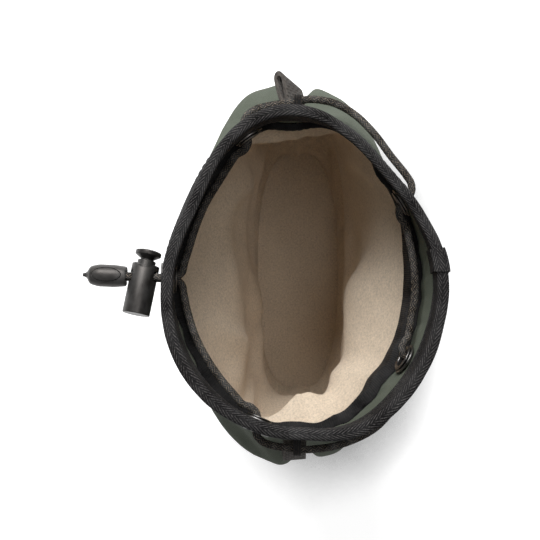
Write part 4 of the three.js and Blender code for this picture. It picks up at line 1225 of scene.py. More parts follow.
def fleece(rgb):
    """Brushed fleece: pale tips over darker roots, in soft clouds."""
    material, tree, shader = start_material(
        "Fleece", 0.95, Sheen_Weight=0.2, Sheen_Roughness=0.6, Sheen_Tint=(1, 0.93, 0.84, 1),
        Specular_IOR_Level=0.2,
    )
    _, place = places(tree)
    fibres = use(tree, nap(), {"Vector": place, "Scale": 1150.0})
    tips = mixed(tree, fibres["Speckle"], scaled(rgb, 0.74), scaled(rgb, 1.2))
    tufts = mixed(tree, maths(tree, "MULTIPLY", fibres["Tuft"], 0.4), tips, scaled(rgb, 1.08))
    cloud = use(tree, mottle(), {"Color": tufts, "Vector": place, "Scale": 45.0, "Amount": 0.09})
    tree.links.new(cloud["Color"], shader.inputs["Base Color"])
    tree.links.new(ranged(tree, fibres["Speckle"], 0, 1, 0.98, 0.88), shader.inputs["Roughness"])
    raise_surface(tree, shader, fibres["Height"], 0.5 * MM, 0.75)
    return material


def herringbone_tape(name, rgb, light, rib, column, slant, depth):
    """Woven tape: near-black between slanting or straight ribs whose crowns carry a painted highlight, faded
    a little where it bends.
    """
    material, tree, shader = start_material(name, 0.75, Specular_IOR_Level=0.12)
    cut, place = places(tree)
    ribs = use(tree, herringbone(), {"Vector": cut, "Rib": rib, "Column": column, "Slant": slant})
    # Painted highlight: the rib crowns get the lighter colour, standing in for light caught on them
    thread = mixed(tree, ranged(tree, ribs["Shade"], 0.32, 0.9), scaled(rgb, 0.5), light)
    cloud = use(tree, mottle(), {"Color": thread, "Vector": place, "Scale": 90.0, "Amount": 0.12})
    worn = use(tree, edge_wear(), {"Vector": place, "Scale": 700.0, "Amount": 0.3})
    faded = mixed(tree, worn["Mask"], cloud["Color"], scaled(rgb, 5))
    fibres = use(tree, lint(), {"Vector": place, "Scale": 420.0, "Amount": 0.04})
    pale = mixed(tree, maths(tree, "MULTIPLY", fibres["Mask"], 0.35), faded, (0.3, 0.29, 0.27))
    tree.links.new(pale, shader.inputs["Base Color"])
    tree.links.new(ranged(tree, ribs["Height"], 0, 1, 0.9, 0.65), shader.inputs["Roughness"])
    raise_surface(tree, shader, ribs["Height"], depth)
    return material


def webbing(rgb):
    """Coarse woven webbing with mixed light and dark yarns."""
    material, tree, shader = start_material("Webbing", 0.8, Sheen_Weight=0.08, Specular_IOR_Level=0.25)
    cut, place = places(tree)
    weave = use(tree, plain_weave(), {"Vector": cut, "Thread": 0.0011})
    yarn = use(tree, nap(), {"Vector": place, "Scale": 900.0})
    thread = mixed(tree, weave["Shade"], scaled(rgb, 0.4), scaled(rgb, 1.5))
    mixed_yarn = mixed(tree, maths(tree, "MULTIPLY", yarn["Speckle"], 0.5), thread, scaled(rgb, 1.9))
    cloud = use(tree, mottle(), {"Color": mixed_yarn, "Vector": place, "Scale": 150.0, "Amount": 0.2})
    worn = use(tree, edge_wear(), {"Vector": place, "Scale": 600.0, "Amount": 0.5})
    tree.links.new(mixed(tree, worn["Mask"], cloud["Color"], scaled(rgb, 3)), shader.inputs["Base Color"])
    tree.links.new(ranged(tree, weave["Height"], 0, 1, 0.92, 0.7), shader.inputs["Roughness"])
    raise_surface(tree, shader, weave["Height"], 0.3 * MM, 0.9)
    return material


def cord_braid(rgb, light, step, strand):
    """Braided cord: near-black strands with a painted brown highlight on their crowns."""
    material, tree, shader = start_material("Cord braid", 0.75, Specular_IOR_Level=0.1)
    cut, place = places(tree)
    strands = use(tree, braided(), {"Vector": cut, "Step": step, "Strand": strand})
    # Painted highlight: the strands' crowns get the lighter brown colour, standing in for light caught on
    # them
    crown = ranged(tree, strands["Shade"], 0.8, 0.97)
    thread = mixed(tree, crown, rgb, light)
    cloud = use(tree, mottle(), {"Color": thread, "Vector": place, "Scale": 240.0, "Amount": 0.25})
    tree.links.new(cloud["Color"], shader.inputs["Base Color"])
    tree.links.new(ranged(tree, crown, 0, 1, 0.85, 0.55), shader.inputs["Roughness"])
    raise_surface(tree, shader, strands["Height"], 0.22 * MM, 0.9)
    return material


def moulded(name, rgb, roughness, wear):
    """Moulded plastic: fine satin grain, faint flow clouds, rubbed edges and dust."""
    material, tree, shader = start_material(name, roughness, IOR=1.52, Specular_Tint=(1, 0.93, 0.88, 1))
    _, place = places(tree)
    skin = use(tree, nap(), {"Vector": place, "Scale": 2600.0})
    cloud = use(tree, mottle(), {"Color": (*rgb, 1), "Vector": place, "Scale": 110.0, "Amount": 0.16})
    worn = use(tree, edge_wear(), {"Vector": place, "Scale": 900.0, "Amount": wear})
    rubbed = mixed(tree, worn["Mask"], cloud["Color"], scaled(rgb, 5))
    dust = use(tree, lint(), {"Vector": place, "Scale": 500.0, "Amount": 0.05})
    dusty = mixed(tree, maths(tree, "MULTIPLY", dust["Mask"], 0.3), rubbed, (0.2, 0.19, 0.18))
    tree.links.new(dusty, shader.inputs["Base Color"])
    uneven = ranged(tree, cloud["Value"], 0, 1, roughness - 0.05, roughness + 0.08)
    tree.links.new(uneven, shader.inputs["Roughness"])
    raise_surface(tree, shader, skin["Height"], 0.03 * MM, 0.6)
    return material


def plated(name, rgb, roughness):
    """Plated metal: faint turning marks, rubbed edges and a little handling haze."""
    material, tree, shader = start_material(name, roughness, Metallic=1.0)
    _, place = places(tree)
    cloud = use(tree, mottle(), {"Color": (*rgb, 1), "Vector": place, "Scale": 260.0, "Amount": 0.18})
    worn = use(tree, edge_wear(), {"Vector": place, "Scale": 1200.0, "Amount": 0.7})
    tree.links.new(mixed(tree, worn["Mask"], cloud["Color"], scaled(rgb, 2.2)), shader.inputs["Base Color"])
    haze = ranged(tree, cloud["Value"], 0, 1, roughness - 0.06, roughness + 0.12)
    tree.links.new(haze, shader.inputs["Roughness"])
    marks = use(tree, nap(), {"Vector": place, "Scale": 3000.0})
    raise_surface(tree, shader, marks["Height"], 0.02 * MM, 0.5)
    return material


def foam_finish(rgb):
    """Open-cell foam."""
    material, tree, shader = start_material("Foam", 0.95)
    _, place = places(tree)
    cells = node(tree, "ShaderNodeTexVoronoi", {"Vector": place, "Scale": 1400.0}).outputs["Distance"]
    cloud = use(tree, mottle(), {"Color": (*rgb, 1), "Vector": place, "Scale": 80.0, "Amount": 0.2})
    pores = mixed(tree, ranged(tree, cells, 0.1, 0.6), scaled(rgb, 0.35), cloud["Color"])
    tree.links.new(pores, shader.inputs["Base Color"])
    raise_surface(tree, shader, cells, 0.2 * MM)
    return material


def thread_finish(rgb):
    """Sewing thread with its twist."""
    material, tree, shader = start_material("Thread", 0.6, Sheen_Weight=0.2)
    _, place = places(tree)
    twist = use(tree, nap(), {"Vector": place, "Scale": 2200.0})
    shade = mixed(tree, twist["Speckle"], scaled(rgb, 0.7), scaled(rgb, 3))
    tree.links.new(shade, shader.inputs["Base Color"])
    raise_surface(tree, shader, twist["Height"], 0.08 * MM)
    return material


def finishes():
    """All the finishes, made once from the scene's colours."""
    if "finishes" not in made:
        colours = bpy.context.scene.pouch_finish
        trim = bpy.context.scene.pouch_trim
        strand = math.pi * trim.cord / 8
        tape = tuple(colours.tape)
        made["finishes"] = {
            "shell": shell_fabric(tuple(colours.shell)),
            "fleece": fleece(tuple(colours.fleece)),
            "binding": herringbone_tape(
                "Herringbone tape", tape, tuple(colours.binding_rib_painted_highlight), 1.9 * MM, 2.4 * MM, 2.0, 0.25 * MM
            ),
            "ribbed": herringbone_tape(
                "Ribbed tape", tape, tuple(colours.tape_rib_painted_highlight), 0.85 * MM, 60 * MM, 0.0, 0.2 * MM
            ),
            "webbing": webbing(tuple(colours.webbing)),
            "cord": cord_braid(tuple(colours.cord), tuple(colours.cord_painted_highlight), trim.strand_step, strand),
            "foam": foam_finish(tuple(colours.foam)),
            "gunmetal": plated("Gunmetal plating", tuple(colours.gunmetal), 0.32),
            "lock": moulded("Lock plastic", tuple(colours.lock), 0.38, 0.5),
            "cord_end": moulded("Cord end plastic", tuple(colours.cord_end), 0.42, 0.45),
            "steel": plated("Spring steel", tuple(colours.steel), 0.25),
            "thread": thread_finish(tape),
        }
    return made["finishes"]


def sizes():
    """The groups of sizes that a user can change."""
    scene = bpy.context.scene
    return scene.pouch_shape, scene.pouch_trim, scene.pouch_lock


class PieceOperator:
    """What all the operators that make pieces share."""

    bl_options = {"REGISTER", "UNDO"}

    def execute(self, context):
        pieces = self.make(the_wall(), *sizes())
        if not pieces:
            raise RuntimeError(f"{self.bl_label} made nothing")
        return {"FINISHED"}


class POUCH_OT_stage(bpy.types.Operator):
    """Sets up the camera above the mouth, the lamps and the white floor"""

    bl_idname = "pouch.stage"
    bl_label = "Stage"

    def execute(self, context):
        scene = context.scene
        stage, rim = scene.pouch_stage, scene.pouch_shape.height
        camera = bpy.data.cameras.new("Camera")
        camera.sensor_width = 36
        camera.lens = 36 * stage.camera_distance / stage.field
        viewer = bpy.data.objects.new("Camera", camera)
        turn = Matrix(((0, -1, 0), (1, 0, 0), (0, 0, 1))).to_4x4()
        viewer.matrix_world = Matrix.Translation((0, stage.centre_y, rim + stage.camera_distance)) @ turn
        scene.collection.objects.link(viewer)
        scene.camera = viewer
        self.lamp("Key", (-0.91, -0.20, 1.02), 0.7, stage.key_power, rim)
        self.lamp("Fill", (-0.12, 0.24, 1.6), 0.5, stage.fill_power, rim)
        world = bpy.data.worlds.new("Sky")
        world.use_nodes = True
        sky = world.node_tree.nodes["Background"]
        sky.inputs["Color"].default_value = (1, 1, 1, 1)
        sky.inputs["Strength"].default_value = stage.world_light
        scene.world = world
        scene.view_settings.view_transform = "Standard"
        self.floor(stage)
        return {"FINISHED"}

    def lamp(self, name, place, size, power, aim):
        """A square soft lamp that looks at the mouth."""
        light = bpy.data.lights.new(name, "AREA")
        light.shape = "SQUARE"
        light.size = size
        light.energy = power
        holder = bpy.data.objects.new(name, light)
        holder.location = place
        heading = Vector((0, 0, aim)) - Vector(place)
        holder.rotation_euler = heading.to_track_quat("-Z", "Y").to_euler()
        bpy.context.scene.collection.objects.link(holder)

    def floor(self, stage):
        """A wide white floor that keeps the pouch's shadow, with a painted shadow added close to the pouch.
        """
        corners = [(-FLOOR_REACH, -FLOOR_REACH, 0), (FLOOR_REACH, -FLOOR_REACH, 0)]
        corners += [(FLOOR_REACH, FLOOR_REACH, 0), (-FLOOR_REACH, FLOOR_REACH, 0)]
        piece = mesh_object("floor", corners, [(0, 1, 2, 3)])
        material, tree, shader = start_material("White floor", 0.9)
        _, place = places(tree)
        # Painted shadow: ambient occlusion aimed towards the key lamp, mapped to near, darkens the floor's
        # colour close to the pouch
        lit_side = node(tree, "ShaderNodeCombineXYZ", {0: -0.5, 1: -0.5, 2: 0.7}).outputs[0]
        painted_shadow_ao = node(
            tree, "ShaderNodeAmbientOcclusion", {"Distance": 0.06, "Normal": lit_side}, samples=16
        )
        near = ranged(tree, painted_shadow_ao.outputs["AO"], 0.68, 0.9, 0.3, 1.0)
        paper = maths(tree, "MULTIPLY", ranged(tree, grain(tree, place, 300.0), 0, 1, 0.8, 0.84), near)
        white = node(tree, "ShaderNodeCombineColor", {0: paper, 1: paper, 2: paper}).outputs[0]
        tree.links.new(white, shader.inputs["Base Color"])
        ray = node(tree, "ShaderNodeLightPath").outputs
        seen = maths(tree, "MAXIMUM", ray["Is Camera Ray"], ray["Is Glossy Ray"])
        seen = maths(tree, "MAXIMUM", seen, ray["Is Transmission Ray"])
        shader.inputs["Emission Color"].default_value = (1, 1, 1, 1)
        # The painted shadow near also dims the white that the camera sees added to the floor
        strength = maths(tree, "MULTIPLY", maths(tree, "MULTIPLY", seen, near), stage.floor_lift)
        tree.links.new(strength, shader.inputs["Emission Strength"])
        piece.data.materials.append(material)


class POUCH_OT_drawcord(PieceOperator, bpy.types.Operator):
    """Threads the braided cord through the eyelets, the keepers and the lock"""

    bl_idname = "pouch.drawcord"
    bl_label = "Drawcord"

    def make(self, wall, shape, trim, lock):
        path = through(drawcord_route(wall, trim, lock), 0.5 * MM)
        sides, ups = frames_along(path)
        around, radius = 24, trim.cord / 2
        angle = np.arange(around) * 2 * np.pi / around
        run = np.r_[0, np.cumsum(np.linalg.norm(np.diff(path, axis=0), axis=1))][:, None]
        share = 8 * angle / (2 * np.pi)
        height = braid(share + run / trim.strand_step, share - run / trim.strand_step)
        reach = radius - trim.cord_relief * (1 - height) * 0.8
        rings = (
            path[:, None]
            + (reach * np.cos(angle))[..., None] * sides[:, None]
            + (reach * np.sin(angle))[..., None] * ups[:, None]
        )
        piece = loft("cord_braid", rings, sharp_angle=1.2)
        return dress(piece, finishes()["cord"], "cord", "drawcord")


def hole_cutters(wall, trim, turns):
    """Round cutters for the eyelets between two turns."""
    radius = trim.eyelet_bore / 2 + trim.eyelet_wall + LAYER_GAP
    profile = [(0, -4 * MM), (radius, -4 * MM), (radius, 2 * MM), (0, 2 * MM)]
    return [
        turned("cutter", profile, eyelet_seat(wall, trim, turn), segments=40)
        for turn in EYELET_TURNS.values()
        if turns[0] < turn < turns[1]
    ]


def eyelet_seat(wall, trim, turn):
    """Where an eyelet sits: its Y axis points out of the wall."""
    outward = wall.axes(turn, wall.eyelets, trim.eyelet_flange / 2)[0]
    spin = Vector((0, 1, 0)).rotation_difference(outward).to_matrix().to_4x4()
    return Matrix.Translation(wall.faceted(turn, wall.eyelets, 0)) @ spin


class POUCH_OT_outer_panels(PieceOperator, bpy.types.Operator):
    """Makes the front and back panels and the base of the shell"""

    bl_idname = "pouch.outer_panels"
    bl_label = "Outer panels"

    def make(self, wall, shape, trim, lock):
        finish, low = finishes()["shell"], wall.base_rise + LAYER_GAP
        pieces = []
        for side, turns in HALVES:
            piece = panel(
                f"{side}_panel", wall, turns, low, wall.rim, 0, shape.fabric, tucked=(True, True)
            )
            combine(piece, hole_cutters(wall, trim, turns))
            pieces.append(dress(piece, finish, "shell_fabric", f"{side}_shell"))
        outside = [(0, 0, share) for share in np.linspace(0, 1, 10)[:-1]]
        inside = [(0, shape.fabric, share) for share in np.linspace(1, 0, 10)[1:]]
        bowl = dish(
            "base_panel", wall,
            outside + corner(wall.base_rise, 0) + corner(wall.base_rise, shape.fabric)[::-1] + inside,
        )
        pieces.append(dress(bowl, finish, "shell_fabric", "base_shell"))
        return pieces


class POUCH_OT_padding(PieceOperator, bpy.types.Operator):
    """Makes the foam between the fabric and the fleece"""

    bl_idname = "pouch.padding"
    bl_label = "Padding"

    def make(self, wall, shape, trim, lock):
        finish, top = finishes()["foam"], wall.facing_low - LAYER_GAP
        pieces = []
        for side, turns in HALVES:
            piece = panel(
                f"{side}_foam", wall, turns, wall.base_rise, top, wall.foam, wall.foam_inner, rows=30,
                tucked=(True, False), squeezed=True,
            )
            pieces.append(dress(piece, finish, "foam", f"{side}_padding"))
        low, high = wall.foam, wall.foam + shape.foam
        under = [(0, low, share) for share in np.linspace(0, 0.95, 8)]
        bend = [point for point in corner(wall.base_rise, low) if point[1] < high]
        over = [(bend[-1][0], high, share) for share in np.linspace(1, 0, 8)]
        slab = dish("base_foam", wall, under + bend + over)
        pieces.append(dress(slab, finish, "foam", "base_padding"))
        return pieces


class POUCH_OT_facing(PieceOperator, bpy.types.Operator):
    """Makes the green facing inside the mouth"""

    bl_idname = "pouch.facing"
    bl_label = "Facing"

    def make(self, wall, shape, trim, lock):
        pieces = []
        for side, turns in HALVES:
            name = f"{side}_mouth_facing"
            piece = panel(name, wall, turns, wall.facing_low, wall.rim, wall.facing, wall.band, rows=16)
            combine(piece, hole_cutters(wall, trim, turns))
            pieces.append(dress(piece, finishes()["shell"], "shell_fabric", f"{side}_facing"))
        return pieces


class POUCH_OT_lining(PieceOperator, bpy.types.Operator):
    """Makes the brushed lining with its slumped fold, and the lining of the floor"""

    bl_idname = "pouch.lining"
    bl_label = "Lining"

    def make(self, wall, shape, trim, lock):
        finish, low = finishes()["fleece"], wall.floor
        pieces = []
        for side, turns in HALVES:
            start, end = turns[0] + LINING_SEAM_HOLD, turns[1] - LINING_SEAM_HOLD
            columns = np.linspace(start, end, int((end - start) / TURN_STEP) + 1)[:, None]
            up = np.linspace(low, wall.lining_top, 64)
            lean = lining_lean(wall, columns, up) - edge_squeeze(wall, columns, up)
            face = wall.skin(columns, up, wall.lining + lean)
            back = wall.skin(columns, up, wall.lining_inner + lean)
            piece = grid_sheet(f"{side}_fleece", face, back)
            pieces.append(dress(piece, finish, "fleece", f"{side}_lining"))
        inset = wall.lining_inner + LAYER_GAP
        under = [(inset, low, share) for share in np.linspace(0, 1, 12)]
        over = [(inset, low + shape.fleece, share) for share in np.linspace(1, 0, 12)]
        slab = dish("floor_fleece", wall, under + over)
        pieces.append(dress(slab, finish, "fleece", "base_lining"))
        return pieces


def uneven_hem(turns):
    """How much lower the binding's inner hem is at the front and the left than at the back."""
    return 3 * MM * window(turns, 142, 343, 24)


class POUCH_OT_binding(PieceOperator, bpy.types.Operator):
    """Folds the herringbone tape over the rim and laps its end over its start"""

    bl_idname = "pouch.binding"
    bl_label = "Rim binding"

    def section(self, wall, trim, turns, grow=0.0):
        """Rings of the folded tape: its shown face, then its hidden face, from hem to hem."""
        thick, inn, hem = trim.binding_thickness, wall.band, wall.binding_hem
        out = LAYER_GAP + thick + grow
        arch = rounded(
            [(-out, hem), (-out, wall.rim + out), (inn + out, wall.rim + out), (inn + out, hem)],
            1.5 * MM, 7,
        )
        under = LAYER_GAP + grow
        hollow = rounded(
            [(-under, hem), (-under, wall.rim + under), (inn + under, wall.rim + under), (inn + under, hem)],
            0.7 * MM, 7,
        )
        rows = []
        for outline in (arch, hollow[::-1]):
            run = np.r_[0, np.cumsum(np.linalg.norm(np.diff(outline, axis=0), axis=1))]
            even = np.linspace(0, run[-1], 32)
            rows.append(np.stack([np.interp(even, run, outline[:, k]) for k in (0, 1)], 1))
        profile = np.concatenate(rows)
        shift = self.stray(wall, trim, turns)
        inset = profile[None, :, 0] + shift[:, None] * 0.4
        height = profile[None, :, 1] + shift[:, None] * np.where(profile[:, 1] < wall.rim - 4 * MM, 1.0, 0.45)
        down = np.clip((wall.rim - profile[:, 1]) / (wall.rim - hem), 0, 1) * (profile[:, 0] > inn / 2)
        height = height - uneven_hem(turns)[:, None] * down
        return wall.skin(turns[:, None], height, inset)

    def stray(self, wall, trim, turns):
        """How far the tape wanders at each turn."""
        spots = wall.smooth(turns, wall.rim, 0)
        wander = ripple(spots, 14 * MM, 1) + 0.5 * ripple(spots, 5 * MM, 2)
        return wander * trim.binding_pucker * 1.4

    def make(self, wall, shape, trim, lock):
        finish = finishes()["binding"]
        turns = np.arange(0, 360, 0.8)
        tape = loft("binding_tape", self.section(wall, trim, turns), closed=True)
        lap = np.linspace(*LAP_TURNS, 14)
        end = loft("binding_lap", self.section(wall, trim, lap, trim.binding_thickness * 0.9))
        return [
            dress(tape, finish, "black_tape", "rim_binding"),
            dress(end, finish, "black_tape", "rim_binding"),
        ]


class POUCH_OT_lining_tape(PieceOperator, bpy.types.Operator):
    """Covers the fleece's top edge with ribbed tape"""

    bl_idname = "pouch.lining_tape"
    bl_label = "Lining tape"

    def make(self, wall, shape, trim, lock):
        turns = np.arange(0, 360, 1.0)[:, None]
        start = wall.band + LAYER_GAP
        shown = rounded(
            [(start, wall.tape_top), (wall.tape_inner, wall.tape_top), (wall.tape_inner, wall.tape_hem)],
            0.8 * MM, 5,
        )
        hidden = rounded(
            [(wall.tape, wall.tape_hem), (wall.tape, wall.tape_seat), (start, wall.tape_seat)], 0.4 * MM, 5
        )
        profile = np.concatenate([shown, hidden])
        waver = 0.3 * MM * ripple(wall.smooth(turns[:, 0], wall.rim, 0), 11 * MM, 4)
        waver = waver + 2.6 * MM * window(turns[:, 0], 140, 335)
        share = (wall.tape_top - profile[:, 1]) / (wall.tape_top - wall.tape_hem)
        height = profile[None, :, 1] + waver[:, None] * share
        ledge = wall.tape_inner - start
        flat = 1 - edge_squeeze(wall, turns, wall.rim) / ledge
        inset = start + (profile[:, 0] - start) * flat
        rings = wall.skin(turns, height, inset + lining_lean(wall, turns, height))
        piece = loft("ribbed_tape", rings, closed=True)
        return [dress(piece, finishes()["ribbed"], "black_tape", "lining_tape")]


class POUCH_OT_eyelets(PieceOperator, bpy.types.Operator):
    """Sets the five pressed eyelets and their washers"""

    bl_idname = "pouch.eyelets"
    bl_label = "Eyelets"

    def make(self, wall, shape, trim, lock):
        pieces = []
        bore, flange, metal = trim.eyelet_bore / 2, trim.eyelet_flange / 2, trim.eyelet_wall
        face = LAYER_GAP + trim.eyelet_height
        washer_top = -(wall.band + LAYER_GAP + 0.5 * MM)
        washer_low = washer_top - 0.8 * MM
        roll_top = washer_low - LAYER_GAP
        roll_low = roll_top - 0.6 * MM
        ring = rounded(
            [
                (bore, roll_low), (bore, face), (flange, face), (flange, LAYER_GAP),
                (bore + metal, LAYER_GAP), (bore + metal, roll_top), (bore + 1.6 * MM, roll_top),
                (bore + 1.6 * MM, roll_low),
            ],
            0.75 * MM, 5, closed=True,
        )
        inner = bore + metal + LAYER_GAP
        disc = rounded(
            [(inner, washer_low), (inner, washer_top), (flange, washer_top), (flange, washer_low)],
            0.25 * MM, 3, closed=True,
        )
        for name, turn in EYELET_TURNS.items():
            seat = eyelet_seat(wall, trim, turn)
            for label, solid, profile in (
                (f"ring_{name}", f"eyelet_{name}", ring), (f"washer_{name}", f"eyelet_washer_{name}", disc)
            ):
                piece = turned(label, profile, seat, segments=56)
                pieces.append(dress(piece, finishes()["gunmetal"], "gunmetal", solid))
        return pieces


def lock_seat(wall, trim, lock):
    """The cord lock's own frame: Y along the barrel to the button, X towards the pouch."""
    start, pull, roll, heading = tail_start(wall, trim, lock)
    turn = Matrix.Rotation(heading + math.pi - lock.oblique, 4, "Z")
    middle = Matrix.Translation(start + pull * lock.distance)
    return middle @ roll @ turn @ Matrix.Translation((0, lock.depth, 0))


def oval_cutter(length, width, low, high, place, segments=48):
    """An oval column that stands on the XY plane of its place."""
    angle = np.arange(segments) * 2 * np.pi / segments
    ring = np.stack([width / 2 * np.cos(angle), length / 2 * np.sin(angle), 0 * angle], 1)
    rings = np.array([ring + (0, 0, low), ring + (0, 0, high)])
    piece = loft("cutter", rings)
    piece.data.transform(place)
    return piece


class POUCH_OT_cord_lock(PieceOperator, bpy.types.Operator):
    """Makes the cord lock: barrel, sprung plunger and spring"""

    bl_idname = "pouch.cord_lock"
    bl_label = "Cord lock"

    def make(self, wall, shape, trim, lock):
        seat = lock_seat(wall, trim, lock)
        slot = (trim.cord + 2 * LAYER_GAP) / math.cos(lock.oblique)
        lean = Matrix.Identity(4)
        lean[1][0] = math.tan(lock.oblique)
        slot_height = 2 * ((trim.cord + lock.tail_gap) / 2 + trim.cord / 2 + LAYER_GAP)
        slot_low = -lock.depth - slot / 2
        outer, inner = lock.diameter / 2, lock.diameter / 2 - lock.wall
        closed_end = -lock.barrel
        barrel_profile = [(0, closed_end)]
        barrel_profile += rounded(
            [(outer - 2 * lock.round, closed_end), (outer, closed_end), (outer, 0), (inner, 0),
             (inner, closed_end + lock.floor)],
            0.35 * MM, 4,
        ).tolist()
        barrel_profile.append((0, closed_end + lock.floor))
        barrel = turned("lock_barrel", barrel_profile, seat, segments=96)
        wide = lock.diameter + 1 * MM
        cut = block(
            (wide, slot, slot_height), seat @ Matrix.Translation((0, slot_low + slot / 2, 0)) @ lean
        )
        notch = oval_cutter(2 * lock.notch_depth, lock.notch_width, -outer - 1 * MM, outer + 1 * MM, seat)
        combine(barrel, [cut, notch])
        ease(barrel, 0.12 * MM)

        stem = outer - lock.wall - lock.clearance
        foot = slot_low - lock.foot
        cone = lock.travel + LAYER_GAP
        edge = cone + lock.button_cone
        rim = edge + lock.button_edge
        button, neck, step = lock.button / 2, lock.neck / 2, lock.shoulder_width / 2
        plunger_profile = [(0, foot)]
        plunger_profile += rounded(
            [
                (stem * 0.6, foot), (stem, foot), (stem, -LAYER_GAP), (step, -LAYER_GAP),
                (step, lock.shoulder - LAYER_GAP), (neck, lock.shoulder), (neck, cone), (button, edge),
                (button, rim), (button * 0.6, rim + lock.button_dome * 0.8),
                (button * 0.3, rim + lock.button_dome * 0.97),
            ],
            0.3 * MM, 4,
        ).tolist()
        plunger_profile.append((0, rim + lock.button_dome))
        plunger = turned("lock_plunger", plunger_profile, seat, segments=96)
        long = slot + lock.travel
        window = seat @ Matrix.Translation((0, slot_low + long / 2, 0)) @ lean
        combine(plunger, [block((wide, long, slot_height), window)])
        ease(plunger, 0.1 * MM)

        reach = lock.wire / 2 + LAYER_GAP
        low, high = closed_end + lock.floor + reach, foot - reach
        turn = np.linspace(0, 2 * np.pi * lock.spring_turns, 24 * lock.spring_turns + 1)
        coil = (lock.spring - lock.wire) / 2
        climb = np.linspace(low, high, len(turn))
        path = np.stack([coil * np.cos(turn), climb, coil * np.sin(turn)], 1)
        path = np.array([tuple(seat @ Vector(point)) for point in path])
        spring = sweep("lock_spring", path, circle(lock.wire / 2, 10))

        plastic = finishes()["lock"]
        dress(barrel, plastic, "lock_plastic", "cord_lock_barrel", body="cord_lock")
        dress(plunger, plastic, "lock_plastic", "cord_lock_plunger", body="plunger")
        dress(spring, finishes()["steel"], "spring_steel", "cord_lock_spring", body="cord_lock")
        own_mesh(spring)
        return [barrel, plunger, spring]


class POUCH_OT_cord_end(PieceOperator, bpy.types.Operator):
    """Makes the pill over the knotted cord ends, with its oval lid"""

    bl_idname = "pouch.cord_end"
    bl_label = "Cord end"

    def make(self, wall, shape, trim, lock):
        start, pull, roll, heading = tail_start(wall, trim, lock)
        far = lock.distance + lock.diameter / 2 + lock.end_gap
        place = Matrix.Translation(start + pull * far) @ roll
        place = place @ Matrix.Rotation(heading - math.pi / 2, 4, "Z")
        radius, tip, nub = lock.end_width / 2, lock.end_length, lock.nub_width / 2
        outline = [(0, 0)]
        outline += rounded(
            [
                (lock.end_mouth / 2 * 0.6, 0), (lock.end_mouth / 2, 0), (radius, tip * 0.3),
                (radius, tip * 0.7), (radius * 0.8, tip * 0.92), (nub * 1.1, tip),
                (nub * 0.7, tip + lock.nub),
            ],
            1.1 * MM, 6,
        ).tolist()
        outline.append((0, tip + lock.nub))
        slot_half = (trim.cord + lock.tail_gap) / 2 + trim.cord / 2 + LAYER_GAP
        body = turned("end_body", outline, place, segments=96)
        whole = body.copy()
        whole.data = body.data.copy()
        bpy.context.scene.collection.objects.link(whole)
        whole.name = "end_lid"
        bay = lock.end_hold + 1 * MM
        slot = block(
            (trim.cord + 2 * LAYER_GAP, bay, 2 * slot_half),
            place @ Matrix.Translation((0, bay / 2 - 1 * MM, 0)),
        )
        middle = place @ Matrix.Translation((0, tip / 2, 0))
        gap = 2 * LAYER_GAP
        roof = radius + 1 * MM
        recess = oval_cutter(
            lock.lid_length + gap, lock.lid_width + gap, slot_half - LAYER_GAP, roof, middle
        )
        combine(body, [slot, recess])
        column = oval_cutter(lock.lid_length, lock.lid_width, slot_half, roof, middle)
        combine(whole, [column], "INTERSECT")
        for piece in (body, whole):
            ease(piece, 0.15 * MM)
        plastic = finishes()["cord_end"]
        return [
            dress(body, plastic, "cord_end_plastic", "cord_end_body"),
            dress(whole, plastic, "cord_end_plastic", "cord_end_lid"),
        ]


def back_turn(wall, x, z):
    """The turn at which the back of the wall reaches x, for each x and z."""
    low, high = np.zeros(np.broadcast(x, z).shape), np.full(np.broadcast(x, z).shape, 180.0)
    for _ in range(30):
        middle = (low + high) / 2
        beyond = wall.smooth(middle, z, 0)[..., 0] > x
        low, high = np.where(beyond, middle, low), np.where(beyond, high, middle)
    return low


class POUCH_OT_belt_loop(PieceOperator, bpy.types.Operator):
    """Sews the wide webbing loop to the back"""

    bl_idname = "pouch.belt_loop"
    bl_label = "Belt loop"

    def make(self, wall, shape, trim, lock):
        top = wall.rim - trim.belt_top_drop
        z = np.linspace(trim.belt_bottom, top, 90)[None, :]
        x = np.linspace(-trim.belt_width / 2, trim.belt_width / 2, 31)[:, None]
        free = (z - trim.belt_bottom - trim.belt_sewn) / (top - trim.belt_bottom - 2 * trim.belt_sewn)
        stand = LAYER_GAP + trim.belt_stand * np.sin(np.pi * np.clip(free, 0, 1)) ** 0.6
        edge = np.abs(x) / (trim.belt_width / 2)
        curl = 0.25 * MM * edge ** 8
        turn = back_turn(wall, x, z)
        face = wall.smooth(turn, z, -stand - trim.webbing + curl)
        back = wall.smooth(turn, z, -stand - curl)
        piece = grid_sheet("belt_webbing", face, back)
        return [dress(piece, finishes()["webbing"], "webbing", "belt_loop")]


